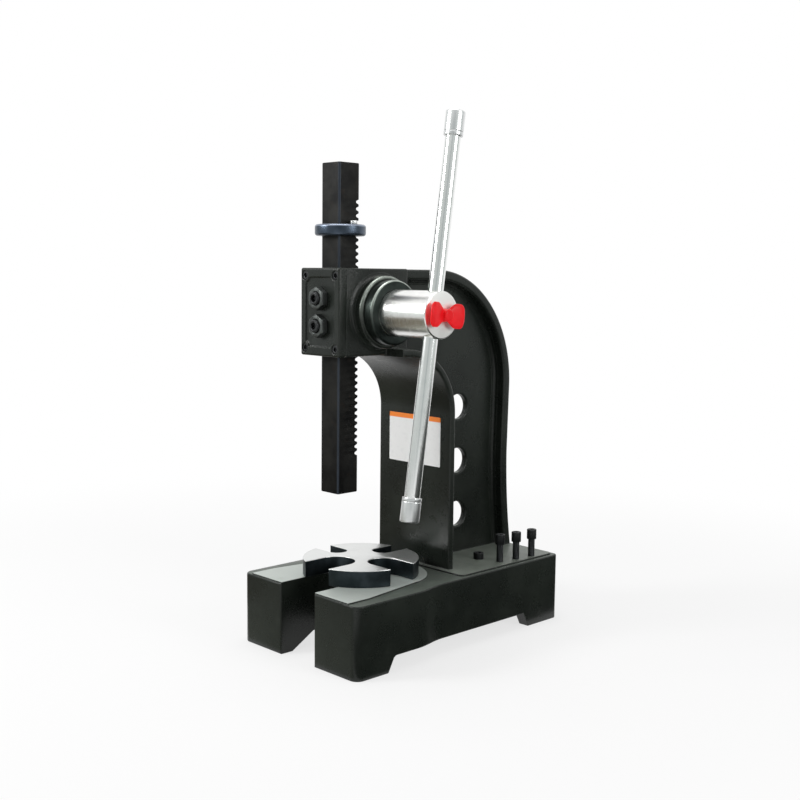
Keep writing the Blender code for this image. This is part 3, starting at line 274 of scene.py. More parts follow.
def carve(shape, *tools, operation="DIFFERENCE"):
    """The shape with each tool taken out of it in turn, or joined to it by the operation UNION."""
    for part in tools:
        blank, tool = (placed(name, mesh_of(name, made)) for name, made in (("blank", shape), ("tool", part)))
        step = blank.modifiers.new("cut", "BOOLEAN")
        step.operation, step.solver, step.object = operation, "EXACT", tool
        done = blank.evaluated_get(bpy.context.evaluated_depsgraph_get())
        shape = shape_of(done.to_mesh())
        done.to_mesh_clear()
        for made in (blank, tool):
            data = made.data
            bpy.data.objects.remove(made)
            bpy.data.meshes.remove(data)
    return shape


def moved(shape, shift=(0, 0, 0), turn=None):
    """A shape turned by a matrix about zero, then shifted."""
    points, faces = shape
    if turn is not None:
        points = points @ np.array(turn).T
    return points + np.array(shift), faces


pieces = {}


def make_piece(name, shapes, finish, body, stands_for=(), smooth=35):
    """Puts shapes at the machine's place, as one object that rides on a body and stands for its CAD nodes."""
    data = mesh_of(name, *[moved(shape, ORIGIN) for shape in shapes])
    data.shade_smooth()
    data.set_sharp_from_angle(angle=math.radians(smooth))
    data.materials.append(finish)
    piece = placed(name, data)
    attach(piece, body)
    if stands_for:
        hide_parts(*stands_for)
    pieces[name] = piece
    print(f"{name}: {len(data.polygons)} faces, rides on {body}")
    return piece


# %% [markdown]
# ## Finishes
#
# Iron paint, blued steel and chrome differ less in colour than in how their gloss breaks up: paint follows
# the grain of the sand mould, turned steel has rings, and a drawn bar has lines along it. Each finish is a
# small graph of nodes. The first class below wraps a socket, so that a graph can be written as arithmetic,
# and the second holds the one method that adds a node.

# %% Sockets that add and multiply
class Value:
    """A socket with the arithmetic of numbers: each operation adds a Math node."""

    def __init__(self, graph, socket):
        self.graph, self.socket = graph, socket

    def maths(self, operation, *others):
        return self.graph.node("ShaderNodeMath", {"operation": operation}, dict(enumerate(others)))

    def __add__(self, other):
        return self.maths("ADD", self, other)

    def __sub__(self, other):
        return self.maths("SUBTRACT", self, other)

    def __rsub__(self, other):
        return self.maths("SUBTRACT", other, self)

    def __mul__(self, other):
        return self.maths("MULTIPLY", self, other)

    def __pow__(self, other):
        return self.maths("POWER", self, other)

    def __abs__(self):
        return self.maths("ABSOLUTE", self)

    def above(self, edge, width):
        """0 below the edge and 1 a width above it, with a smooth step between."""
        limits = {"Value": self, "From Min": edge, "From Max": edge + width}
        return self.graph.node("ShaderNodeMapRange", {"interpolation_type": "SMOOTHSTEP"}, limits)

    __radd__ = __add__
    __rmul__ = __mul__


class Graph:
    """A node tree, and the one method that adds any node to it."""

    def __init__(self, tree):
        self.tree = tree

    def node(self, kind, settings=None, values=None, output=0):
        """Adds a node: first its settings, then values or links for its sockets."""
        made = self.tree.nodes.new(kind)
        for key, value in (settings or {}).items():
            setattr(made, key, value)
        for key, value in (values or {}).items():
            if isinstance(value, Value):
                self.tree.links.new(value.socket, made.inputs[key])
            else:
                made.inputs[key].default_value = value
        return Value(self, made.outputs[output])


class Finish(Graph):
    """A Principled material with what its colour, roughness and relief are worked out from."""

    def __init__(self, name, colour, roughness, metallic=0.0, **uniform):
        self.material = bpy.data.materials.new(name)
        self.material.use_nodes = True
        self.material.diffuse_color = (*colour, 1)
        super().__init__(self.material.node_tree)
        self.shader = self.tree.nodes["Principled BSDF"]
        values = {"Base Color": (*colour, 1), "Roughness": roughness, "Metallic": metallic, **uniform}
        for socket, value in values.items():
            self.shader.inputs[socket].default_value = value
        self.place = self.node("ShaderNodeTexCoord", output="Object")

    def noise(self, scale, detail=3.0, stretch=(1, 1, 1), turn=(0, 0, 0), rough=0.55):
        """Cloudy noise from 0 to 1, whose pattern may be stretched along an axis or turned."""
        mapping = {"Vector": self.place, "Rotation": turn, "Scale": stretch}
        values = {"Scale": scale, "Detail": detail, "Roughness": rough}
        values["Vector"] = self.node("ShaderNodeMapping", None, mapping)
        return self.node("ShaderNodeTexNoise", None, values)

    def along(self, axis):
        """How far along an axis a point is, from the table's top."""
        return self.node("ShaderNodeSeparateXYZ", None, {0: self.place}, axis)

    def rings(self, scale, axis, centre, detail=2.0):
        """Lathe marks: noise along one line, the place along the axis plus the distance from it."""
        values = {"W": self.along(axis) + self.reach(axis, centre), "Scale": scale, "Detail": detail}
        return self.node("ShaderNodeTexNoise", {"noise_dimensions": "1D"}, values)

    def facing(self, axis):
        """How far the plain surface faces along an axis: 1 straight along it, 0 across it."""
        plain = self.node("ShaderNodeNewGeometry", output="Normal")
        return self.node("ShaderNodeSeparateXYZ", None, {0: plain}, axis)

    def reach(self, axis, centre):
        """How far a point is from a line along an axis."""
        across = [self.along(name) for name in "XYZ" if name != axis]
        first, second = (value - c for value, c in zip(across, centre))
        return (first * first + second * second) ** 0.5

    def mix(self, share, low, high):
        """The low colour where share is 0 and the high one where it is 1."""
        ends = [(*c, 1) if isinstance(c, tuple) else c for c in (low, high)]
        return self.node("ShaderNodeMix", {"data_type": "RGBA"}, {0: share, 6: ends[0], 7: ends[1]}, 2)

    def rounded(self, radius):
        """The surface's normal, with every sharp edge and inner corner rounded to a radius."""
        return self.node("ShaderNodeBevel", {"samples": 6}, {"Radius": radius})

    def edge_nearness(self, radius):
        """How far the rounded normal leans away from the plain one, which is only near an edge."""
        plain = self.node("ShaderNodeNewGeometry", output="Normal")
        pair = {0: self.rounded(radius), 1: plain}
        return 1 - self.node("ShaderNodeVectorMath", {"operation": "DOT_PRODUCT"}, pair, "Value")

    def bump(self, height, depth, normal=None):
        """Raises the surface by height times depth, in metres."""
        values = {"Height": height, "Distance": depth, "Strength": 1.0}
        if normal is not None:
            values["Normal"] = normal
        return self.node("ShaderNodeBump", None, values, "Normal")

    def show(self, shader):
        """Shows another shader in place of the Principled one."""
        self.tree.links.new(shader.socket, self.tree.nodes["Material Output"].inputs["Surface"])

    def feed(self, **links):
        """Links values to the shader's sockets, where an underscore in a name stands for a space."""
        for name, value in links.items():
            self.tree.links.new(value.socket, self.shader.inputs[name.replace("_", " ")])
        return self.material


# %% [markdown]
# ### Paint on cast iron
#
# The castings are sprayed with a half-gloss black that leans to green. A sand mould leaves a fine grain
# under the paint and slow waves in its gloss, and a corner that has met other iron shows a little lighter,
# partly as wear and partly as a painted edge highlight. Upward faces carry dust and a painted sheen, and
# the rounded rim of the right boss has a painted highlight on its upper side. A flat black would look like
# plastic, so the grain is in the bump, the waves are in the roughness, and the corners come from the
# rounded normal.

# %% Black casting paint
SHAFT_AXIS = (PINION_Y + ORIGIN[1], PINION_Z + ORIGIN[2])
COLLAR_AXIS = (0.0, ORIGIN[1])


def cast_paint_look(paint, dust_and_sheen_colour):
    """The paint's colour, roughness and relief, for any finish that shows it."""
    grain, waves, patches = paint.noise(420, 4), paint.noise(26, 3), paint.noise(7, 2)
    chips = paint.noise(140, 3).above(0.42, 0.22)
    # Edges are lighter in chipped spots: wear, and also a painted highlight along the edges.
    edge = (paint.edge_nearness(0.0035) * 6).above(0.15, 1.1) * chips
    colour = paint.mix(patches.above(0.35, 0.35), (0.0085, 0.0112, 0.0088), (0.0150, 0.0190, 0.0150))
    colour = paint.mix(waves.above(0.55, 0.25) * 0.5, colour, (0.0190, 0.0230, 0.0185))
    # Upward faces are lighter: dust, and a painted sheen on the paint's tops.
    dust_and_sheen = paint.facing("Z").above(0.90, 0.08) * (0.55 + paint.noise(55, 4) * 0.6)
    colour = paint.mix(dust_and_sheen, colour, dust_and_sheen_colour)
    colour = paint.mix(edge * 0.75, colour, (0.085, 0.095, 0.085))
    rough = 0.19 + waves * 0.13 + grain * 0.06 + dust_and_sheen * 0.18
    return colour, rough, grain * 0.6 + waves * 0.9


def make_casting_paint():
    paint = Finish("black_casting_paint", (0.010, 0.012, 0.010), 0.30, **{"Specular IOR Level": 0.36})
    # The column's colour for dust and painted sheen on upward faces is brighter than the base's.
    colour, rough, relief = cast_paint_look(paint, (0.19, 0.215, 0.185))
    # A painted highlight: the right boss's rounded rim is made light and metallic on its upper side only.
    reach = paint.reach("X", SHAFT_AXIS)
    chamfer_highlight = reach.above(0.0605, 0.0012) * (1 - reach.above(0.0675, 0.001))
    chamfer_highlight = chamfer_highlight * paint.along("X").above(0.0712, 0.001)
    chamfer_highlight = chamfer_highlight * paint.facing("Z").above(-0.25, 0.8) * (0.4 + paint.noise(90, 4))
    colour = paint.mix(chamfer_highlight, colour, (0.34, 0.38, 0.34))
    normal = paint.bump(relief, 0.00040, paint.rounded(0.003))
    return paint.feed(Base_Color=colour, Roughness=rough, Metallic=chamfer_highlight * 0.8, Normal=normal)


casting_paint = make_casting_paint()
print("made", casting_paint.name)

# %% [markdown]
# ### The milled face of the base
#
# The raised face under the table is milled bare after painting. Seen from the front it is almost white,
# with faint straight cutter lines and a few darker stains. The same material serves the base's painted
# sides: the height of a point says which of the two finishes it has, so no seam has to be drawn.

# %% Paint below, milled iron on top
def make_base_finish():
    iron = Finish("painted_and_milled_iron", (0.3, 0.3, 0.3), 0.38, **{"Specular IOR Level": 0.36})
    top = iron.along("Z").above(PAD_TOP - TABLE_TOP - 0.0006, 0.0003)
    # The last colour is the base's dust and painted sheen on upward faces.
    paint, rough_paint, relief = cast_paint_look(iron, (0.105, 0.125, 0.105))
    lines = iron.noise(90, 3, (0.12, 9, 1))
    stains = iron.noise(15, 4)
    milled = iron.mix(lines, (0.44, 0.48, 0.45), (0.58, 0.63, 0.59))
    milled = iron.mix(stains.above(0.55, 0.2) * 0.35, milled, (0.33, 0.36, 0.32))
    rough = rough_paint * (1 - top) + (0.32 + lines * 0.12 + stains * 0.10) * top
    colour = iron.mix(top, paint, milled)
    normal = iron.bump(relief * (1 - top) + lines * 0.12 * top, 0.00040, iron.rounded(0.003))
    return iron.feed(Base_Color=colour, Roughness=rough, Metallic=top * 0.25, Normal=normal)


base_finish = make_base_finish()
print("made", base_finish.name)

# %% [markdown]
# ### Steel: oxide-black, blued, ground, bright and chromed
#
# Small screws and the ram are blacked in an oxide bath, which keeps the drawn bar's lines, and the ram's
# rubbed corners also carry a painted bluish highlight. The collar and the ring round the hub are turned, then
# blued by heat, with a painted highlight on their upper rounded edges. The table is ground on top and black
# at its sides.
# The hub and lever are chromed, the caps zinc plated. Turned pieces take their lathe marks from the
# distance to their own axis, so the marks run round a side and in circles on a face.

# %% Steel finishes
def make_oxide(name, stretch, dark, light, corner=None):
    """Corner is how far out |x| + |y - y0| reaches where a bar's corners are rubbed and lightened by a
    painted bluish highlight, and y0.
    """
    steel = Finish(name, light, 0.42, 0.8, **{"Specular IOR Level": 0.3})
    lines = steel.noise(60, 3, stretch)
    clouds = steel.noise(22, 4)
    rust = steel.noise(38, 5).above(0.58, 0.14)
    colour = steel.mix(clouds.above(0.3, 0.4), dark, light)
    colour = steel.mix(rust * 0.35, colour, tuple(c * s for c, s in zip(light, (1.5, 1.1, 0.85))))
    colour = steel.mix((steel.edge_nearness(0.0012) * 5).above(0.1, 0.8) * 0.5, colour, (0.26, 0.27, 0.29))
    if corner is not None:
        # Rubbed corners, lightened also by a painted bluish highlight.
        rub_and_highlight = (abs(steel.along("X")) + abs(steel.along("Y") - corner[1])).above(corner[0], 0.003)
        rub_and_highlight = rub_and_highlight * (0.35 + steel.noise(30, 4, (1, 1, 0.2)) * 0.6)
        colour = steel.mix(rub_and_highlight, colour, (0.085, 0.105, 0.140))
    rough = 0.34 + clouds * 0.14 + lines * 0.10
    normal = steel.bump(lines * 0.5 + clouds * 0.3, 0.00018, steel.rounded(0.0012))
    return steel.feed(Base_Color=colour, Roughness=rough, Normal=normal)


def make_blued(name, axis, centre, dark, light, edge):
    steel = Finish(name, light, 0.3, 0.9)
    marks = steel.rings(1400, axis, centre)
    clouds = steel.noise(30, 3)
    colour = steel.mix(clouds.above(0.3, 0.4), dark, light)
    facing = steel.facing(axis)
    # A painted highlight: the rounded edges, on their upper side, take the edge colour.
    chamfer_highlight = facing.above(0.15, 0.15) * (1 - facing.above(0.90, 0.07)) * (0.4 + steel.noise(90, 4))
    if axis == "X":
        chamfer_highlight = chamfer_highlight * steel.facing("Z").above(-0.25, 0.8)
    colour = steel.mix(chamfer_highlight * 0.85, colour, edge)
    rough = 0.22 + marks * 0.16 + clouds * 0.06
    normal = steel.bump(marks, 0.00006, steel.rounded(0.0015))
    return steel.feed(Base_Color=colour, Roughness=rough, Normal=normal)


def make_bright(name, colour, roughness, axis="X", centre=SHAFT_AXIS, satin=0.0):
    """Satin is how much rougher a face across the axis is than the turned side."""
    steel = Finish(name, colour, roughness, 1.0)
    marks = steel.rings(1700, axis, centre)
    smears = steel.noise(34, 4)
    dull = tuple(c * 0.80 for c in colour)
    tint = steel.mix(smears.above(0.45, 0.3) * 0.5, colour, dull)
    rough = roughness + marks * 0.07 + smears * 0.07 + steel.facing(axis).above(0.97, 0.02) * satin
    normal = steel.bump(marks, 0.00004, steel.rounded(0.0010))
    return steel.feed(Base_Color=tint, Roughness=rough, Normal=normal)


def make_lever_chrome():
    chrome = Finish("lever_chrome", (0.83, 0.84, 0.83), 0.17, 1.0)
    tilt = (-LEVER_TILT, 0, 0)
    lines = chrome.noise(150, 3, (9, 9, 0.12), tilt)
    hands = chrome.noise(20, 4)
    colour = chrome.mix(hands.above(0.5, 0.25) * 0.4, (0.84, 0.85, 0.84), (0.66, 0.68, 0.67))
    rough = 0.13 + lines * 0.07 + hands * 0.08
    return chrome.feed(Base_Color=colour, Roughness=rough, Normal=chrome.bump(lines, 0.00003))


def make_table_steel():
    steel = Finish("ground_table_steel", (0.5, 0.5, 0.5), 0.3, 1.0)
    top = steel.along("Z").above(-0.0016, 0.0008)
    lines = steel.noise(110, 3, (0.10, 10, 1))
    clouds = steel.noise(18, 4)
    ground = steel.mix(lines, (0.66, 0.67, 0.66), (0.82, 0.83, 0.82))
    ground = steel.mix(clouds.above(0.55, 0.2) * 0.3, ground, (0.52, 0.53, 0.52))
    side = steel.mix(clouds.above(0.35, 0.35), (0.026, 0.034, 0.038), (0.056, 0.068, 0.078))
    rough = (0.24 + lines * 0.12 + clouds * 0.06) * top + (0.30 + clouds * 0.16) * (1 - top)
    normal = steel.bump(lines * top + clouds * (1 - top) * 2, 0.00010, steel.rounded(0.0012))
    return steel.feed(Base_Color=steel.mix(top, side, ground), Roughness=rough, Normal=normal)


BAR_GRAIN, EVEN_GRAIN = (9, 9, 0.15), (3, 3, 3)
ram_oxide = make_oxide(
    "ram_oxide", BAR_GRAIN, (0.009, 0.009, 0.0092), (0.024, 0.0235, 0.022), (0.0455, ORIGIN[1])
)
screw_oxide = make_oxide("screw_oxide", EVEN_GRAIN, (0.016, 0.017, 0.018), (0.045, 0.047, 0.048))
nut_oxide = make_oxide("nut_oxide", EVEN_GRAIN, (0.035, 0.037, 0.037), (0.11, 0.12, 0.115))
# The last colour of each blued finish is the colour of its painted edge highlight.
collar_blue = make_blued(
    "collar_blue", "Z", COLLAR_AXIS, (0.045, 0.060, 0.082), (0.088, 0.112, 0.150), (0.30, 0.34, 0.42)
)
ring_black = make_blued(
    "ring_black", "X", SHAFT_AXIS, (0.020, 0.026, 0.024), (0.042, 0.052, 0.047), (0.50, 0.55, 0.50)
)
hub_chrome = make_bright("hub_chrome", (0.89, 0.89, 0.87), 0.19, satin=0.22)
zinc_plate = make_bright("zinc_plate", (0.74, 0.75, 0.75), 0.24, "Z", (0.0, 0.0))
bronze = make_bright("bushing_bronze", (0.52, 0.34, 0.14), 0.34)
lever_chrome = make_lever_chrome()
table_steel = make_table_steel()
print("made", len(bpy.data.materials), "finishes")

# %% [markdown]
# ### Red plastic, and the plate on the column
#
# The clamp knob is moulded in glossy red plastic with a faint mould texture. The column carries a bare
# white plate with an orange band along its top, both lightly scuffed.

# %% Plastic and label
def make_red_plastic():
    red = Finish("red_knob_plastic", (0.90, 0.007, 0.013), 0.34, **{"Specular IOR Level": 0.22})
    grain = red.noise(900, 2)
    clouds = red.noise(60, 3)
    colour = red.mix(clouds.above(0.3, 0.4), (0.86, 0.005, 0.010), (0.95, 0.010, 0.016))
    normal = red.bump(grain, 0.00006, red.rounded(0.001))
    return red.feed(Base_Color=colour, Roughness=0.26 + clouds * 0.14, Normal=normal)


BAND_BOTTOM = 0.4275


def make_label():
    label = Finish("white_plate_with_orange_band", (0.85, 0.85, 0.84), 0.42)
    band = label.along("Z").above(BAND_BOTTOM + ORIGIN[2] - 0.0002, 0.0004)
    scuffs = label.noise(90, 5)
    rubbed = scuffs.above(0.5, 0.25) * 0.35
    white = label.mix(rubbed, (0.86, 0.86, 0.85), (0.70, 0.71, 0.71))
    orange = label.mix(rubbed, (0.95, 0.23, 0.008), (0.82, 0.20, 0.012))
    colour = label.mix(band, white, orange)
    return label.feed(Base_Color=colour, Roughness=0.34 + scuffs * 0.2, Normal=label.bump(scuffs, 0.0001))


red_plastic = make_red_plastic()
label_paint = make_label()
print("made", red_plastic.name, "and", label_paint.name)

# %% [markdown]
# ## The base
#
# The base is a forked slab of iron on four feet. From above, its outline runs from the wide front corners
# through a soft jog to the narrower rear. It is carried up and rounded over at the top, as paint and sand
# leave it, and the raised milled face is joined to it. Only then is the slot between the forks cut, because
# it goes through both, and after it the space between the feet, the two hollows underneath and the
# column's seat.

# %% Base casting
def base_outline():
    """Front corner, jog and rear corner of the right half; the jog eases by 3t^2 - 2t^3."""
    half_front, half_rear = 0.165, 0.154
    corner = arc((half_front - 0.018, BASE_FRONT + 0.018), (0.018, 0.018), -TURN / 4, 0, 10)
    t = np.linspace(0, 1, 17)
    jog = np.stack([half_front + (half_rear - half_front) * t * t * (3 - 2 * t), 0.052 + 0.073 * t], 1)
    rear = arc((half_rear - 0.010, BASE_REAR - 0.010), (0.010, 0.010), 0, TURN / 4, 6)
    return mirrored(np.vstack([corner, jog, rear]))


def pad_outline():
    """The milled face: straight sides that draw in, and half an ellipse at the back."""
    sides = np.array([(0.139, BASE_FRONT + 0.0022), (0.139, -0.048)])
    return mirrored(np.vstack([sides, arc((0, 0.085), (0.118, 0.098), 0, TURN / 4 * 0.995, 28)]))


def slot_outline():
    """The slot between the forks: a half circle at its back, and a mouth that flares by a quarter circle."""
    mouth = arc((0.052, BASE_FRONT + 0.004), (0.004, 0.004), TURN * 3 / 4, TURN / 2, 5)
    back = arc((0, -0.014), (0.048, 0.048), 0, TURN / 4 * 0.99, 20)
    return mirrored(np.vstack([[(0.052, BASE_FRONT - 0.010)], mouth, back]))


def arch_ring(height):
    """The open space between the feet at one height: its ends slope, more so beside the slot."""
    share = height / 0.030
    outer, inner, rear = -0.0195 + 0.016 * share, -0.0735 + 0.052 * share, 0.382 - 0.016 * share
    beyond, slot_half = 0.175, 0.048
    half = [(slot_half, inner), (beyond, outer), (beyond, rear)]
    return along("Z", mirrored(np.array(half)), height)


slab = plate(base_outline(), "Z", 0.0, BASE_TOP, 0.002, 0.0024)
pad = plate(pad_outline(), "Z", 0.120, PAD_TOP, 0.0005, 0.0006)
slot = plate(slot_outline(), "Z", -0.010, 0.150)
arch = skin([arch_ring(-0.010), arch_ring(0.030)], start="flat", end="flat")
pockets = [
    plate(rounded_box(low, high, 0.015), "Z", -0.010, 0.085, 0.001, 0.006)
    for low, high in (((0.010, 0.125), (0.130, 0.450)), ((-0.130, 0.125), (-0.010, 0.450)))
]
seat_outline = rounded_box((-FOOT_HALF - GAP, FOOT_FRONT - GAP), (FOOT_HALF + GAP, FOOT_REAR + GAP), 0.0123)
seat = plate(seat_outline, "Z", FOOT_BOTTOM - GAP, 0.150)
slab = carve(carve(slab, pad, operation="UNION"), slot, arch, *pockets, seat)
make_piece("base", [slab], base_finish, "frame_body", ["base_casting"], 40)

# %% [markdown]
# ## The column
#
# Seen from the side the column is a C: a broad flange follows the throat, a narrower rim follows the back,
# and a thin web with three round holes joins them. Flange and rim are the same idea, a rounded rectangle
# carried along a curve, so one function makes both. Cast iron never meets at a sharp inner corner, so a
# hollow fillet is carried along the same curves where the web meets them.

# %% The column's two curves
def throat_line(inset_by=0.0, floor=0.125):
    """From the foot straight up, round the throat and forward under the head, moved into the iron: (y, z)."""
    radius = THROAT_RADIUS + inset_by
    heights = np.linspace(floor, FLANGE_UNDER - THROAT_RADIUS, 9)
    rise = np.stack([np.full(9, FLANGE_FACE + inset_by), heights], 1)
    bend = arc((FLANGE_FACE - THROAT_RADIUS, FLANGE_UNDER - THROAT_RADIUS), (radius, radius), 0, TURN / 4, 40)
    nose = np.array([(0.068, FLANGE_UNDER + inset_by)])
    return np.vstack([rise[:-1], bend, nose])


def rim_line(inset_by=0.0, floor=0.125):
    """From the head's back over an ellipse's quarter, down to the waist and out to the foot by a parabola."""
    top, waist_y, waist_z = HEAD_TOP - 0.001, COLUMN_REAR - 0.004, 0.344
    start = np.array([(0.100, top - inset_by)])
    bend = arc((0.230, top - 0.2345), (0.220 - inset_by, 0.2345 - inset_by), TURN / 4, 0, 44)
    t = np.linspace(0, 1, 15)
    y = waist_y + (FOOT_REAR - 0.003 - waist_y) * t * t
    leg = np.stack([y - inset_by, waist_z + (PAD_TOP - waist_z) * t], 1)
    end = np.array([(leg[-1, 0], floor)])
    return np.vstack([start, bend, leg, end])


def carry(section, path):
    """Carries a section (x, depth) along a path (y, z): each path point plus depth times its normal."""
    step = np.gradient(path, axis=0)
    step = step / np.linalg.norm(step, axis=1, keepdims=True)
    normal = np.stack([step[:, 1], -step[:, 0]], 1)
    across = path[:, None, :] + section[None, :, 1:] * normal[:, None, :]
    x = np.broadcast_to(section[None, :, :1], across[..., :1].shape)
    return skin(np.concatenate([x, across], -1), start="flat", end="flat")


def fillet_section(corner_x, side, radius, sunk=0.003):
    """A hollow quarter circle between the web's face and a band's inner face, closed inside the iron."""
    angle = np.linspace(0, TURN / 4, 9)
    x = corner_x + radius * (1 - np.sin(angle))
    depth = radius * (1 - np.cos(angle))
    curve = np.stack([x, depth], 1)
    back = np.array([(corner_x - sunk, radius), (corner_x - sunk, -sunk), (corner_x + radius, -sunk)])
    section = np.vstack([curve, back])
    return section * [side, 1]


print("throat and rim lines have", len(throat_line()), "and", len(rim_line()), "points")

# %% [markdown]
# The head is a block with the ram's square way through it, and a round boss on each side for the shaft.
# The foot is a plate that sinks into the base. All these skins go into one object, which is the casting.

# %% Column casting
def column_shapes():
    thick, rim_thick = 0.014, 0.020
    flange = carry(rounded_box((-FLANGE_HALF, 0), (FLANGE_HALF, thick), 0.0038), throat_line())
    rim = carry(rounded_box((-RIM_HALF, 0), (RIM_HALF, rim_thick), 0.0048), rim_line())
    web = plate(np.vstack([throat_line(thick / 2), rim_line(rim_thick / 2)]), "X", -WEB_HALF, WEB_HALF)
    half_hole = [(0.0045, 0.026), (WEB_HALF, 0.0285), (0.02, 0.030), (0.02, 0)]
    hole = [(-x, radius) for x, radius in half_hole[::-1]] + half_hole
    web = carve(web, *[lathe(hole, "X", (0.319, 0.220 + 0.112 * i), 72) for i in range(3)])
    fillets = [
        carry(fillet_section(WEB_HALF, side, 0.009), line)
        for side in (1, -1) for line in (throat_line(thick, 0.130), rim_line(rim_thick, 0.130))
    ]
    foot_outline = rounded_box((-FOOT_HALF, FOOT_FRONT), (FOOT_HALF, FOOT_REAR), 0.012)
    foot = plate(foot_outline, "Z", FOOT_BOTTOM, PAD_TOP, 0.001, 0.0016)
    return [flange, rim, web, foot, *fillets]


def head_shapes():
    outline = rounded_box((-HEAD_HALF, HEAD_BOTTOM), (HEAD_HALF, HEAD_TOP), 0.0035)
    block = plate(outline, "Y", COVER_BACK + GAP, HEAD_BACK, 0.0006, 0.003)
    way_half, bore, sunk = RAM_HALF + GAP, 0.0503, 0.002
    way = plate(rounded_box((-way_half, -0.060), (way_half, way_half), 0.0008), "Z", 0.50, 0.80)
    block = carve(block, way)
    right = [(0.02, 0), (0.02, RIGHT_BOSS), (BOSS_FACE, RIGHT_BOSS)]
    right += [(BOSS_FACE, bore), (0.03, bore), (0.03, 0)]
    left = [(-0.02, 0), (-0.02, LEFT_BOSS), (LEFT_BOSS_FACE, LEFT_BOSS), (LEFT_BOSS_FACE, 0)]
    bosses = [lathe(eased(side, 0.0055, 6), "X", SHAFT_LINE) for side in (right, left)]
    roots = []
    for out, radius, reach in ((1, RIGHT_BOSS, 0.006), (-1, LEFT_BOSS, 0.005)):
        draw, rise = quarter_edge(reach, 7)
        curve = np.stack([HEAD_HALF + draw, radius + rise], 1)
        inner, low = HEAD_HALF - sunk, radius - sunk
        back = [(inner, radius + reach), (inner, low), (HEAD_HALF + reach, low)]
        roots.append(lathe(np.vstack([curve, back]) * [out, 1], "X", SHAFT_LINE))
    return [block, *bosses, *roots]


column = column_shapes() + head_shapes()
make_piece("column", column, casting_paint, "frame_body", ["column_casting"], 40)

# %% [markdown]
# ## Front cover and its adjusters
#
# A plate closes the head and carries two screws that press a gib on the ram. Its face is sunk inside a
# raised border, the sink is scalloped round the four corner screws, and its floor runs up to the border in
# a curve.

# %% Cover
SCREW_SIDE, SCREW_RISE = 0.042, 0.0665


def sink_outline():
    """The sunk face: a rectangle whose corners are bitten out by circles round the screws."""
    low = math.atan2(0.05518 - SCREW_RISE, 0.040 - SCREW_SIDE)
    high = math.atan2(0.064 - SCREW_RISE, 0.030775 - SCREW_SIDE)
    bite = arc((SCREW_SIDE, SCREW_RISE), (0.0115, 0.0115), low, high, 12)
    upper = mirrored(bite)
    lower = upper[::-1] * [1, -1]
    return np.vstack([upper, lower]) + [0, HEAD_MIDDLE]


SCREW_PLACES = [(x, HEAD_MIDDLE + z) for z in (SCREW_RISE, -SCREW_RISE) for x in (-SCREW_SIDE, SCREW_SIDE)]
SCREW_SEAT = COVER_FRONT + 0.0105
cover_outline = rounded_box((-HEAD_HALF, HEAD_BOTTOM), (HEAD_HALF, HEAD_TOP), 0.004)
cover = plate(cover_outline, "Y", COVER_FRONT, COVER_BACK, 0.0032, 0.0005)
sink = plate(sink_outline(), "Y", COVER_FRONT - 0.008, RECESS_FLOOR, 0.0005, 0.0022)
sunk_hole = [(-0.060, 0), (-0.060, 0.0105), (COVER_FRONT, 0.0091), (COVER_FRONT + 0.0008, 0.0083)]
sunk_hole += [(SCREW_SEAT, 0.0083), (SCREW_SEAT, 0)]
cover = carve(cover, sink, *[lathe(sunk_hole, "Y", place, 40) for place in SCREW_PLACES])
make_piece("cover", [cover], casting_paint, "frame_body", ["front_cover"], 40)

# %% [markdown]
# ## Screws and nuts
#
# A socket-head screw is a turned shape whose radius also depends on the angle: its socket is a hexagon,
# its head is knurled and its shank has a thread. A hexagon's radius at an angle is half its width across
# flats, divided by the cosine of the angle from the nearest flat. A thread's radius rises and falls with
# the height divided by the pitch, plus the angle divided by a turn.

# %% Radii that change with the angle
def hexagon(flats, sides):
    angle = np.arange(sides) * TURN / sides
    return flats / 2 / np.cos((angle + TURN / 12) % (TURN / 6) - TURN / 12)


def threaded(low, high, radius, pitch, sides, depth=0.06):
    """Stations of a thread: radius less a triangle wave of height over pitch plus angle over a turn."""
    level = np.linspace(low, high, max(2, int(abs(high - low) / pitch * 4)))
    angle = np.arange(sides) / sides
    wave = np.abs(((level[:, None] / pitch + angle) % 1) * 2 - 1)
    return [(z, radius * (1 - depth * w)) for z, w in zip(level, wave)]


def cap_screw(head_radius, head_height, shank_radius, under_head, pitch=0.0016, sides=72):
    """A socket-head screw that points down, with the underside of its head at zero."""
    angle = np.arange(sides) * TURN / sides
    knurl = 1 - 0.018 * (0.5 + 0.5 * np.cos(angle * sides / 3))
    edge = head_radius * 0.12
    socket = hexagon(head_radius, sides)
    draw, rise = quarter_edge(edge, 4)
    stations = [(-under_head, 0), (-under_head, shank_radius * 0.8)]
    stations += threaded(-under_head + 0.001, -0.0012, shank_radius, pitch, sides)
    stations += [(-0.0010, shank_radius * 0.97), (0, shank_radius * 0.97), (0, head_radius * 0.96)]
    stations += [(edge * 0.6, head_radius * knurl), (head_height * 0.72, head_radius * knurl)]
    stations += [(head_height * 0.78, head_radius * 0.985)]
    stations += list(zip(head_height - rise[::-1], head_radius - draw[::-1]))
    stations += [(head_height, socket * 1.10), (head_height - edge * 0.5, socket)]
    stations += [(head_height * 0.45, socket), (head_height * 0.40, 0)]
    return lathe(stations, "Z", sides=sides)


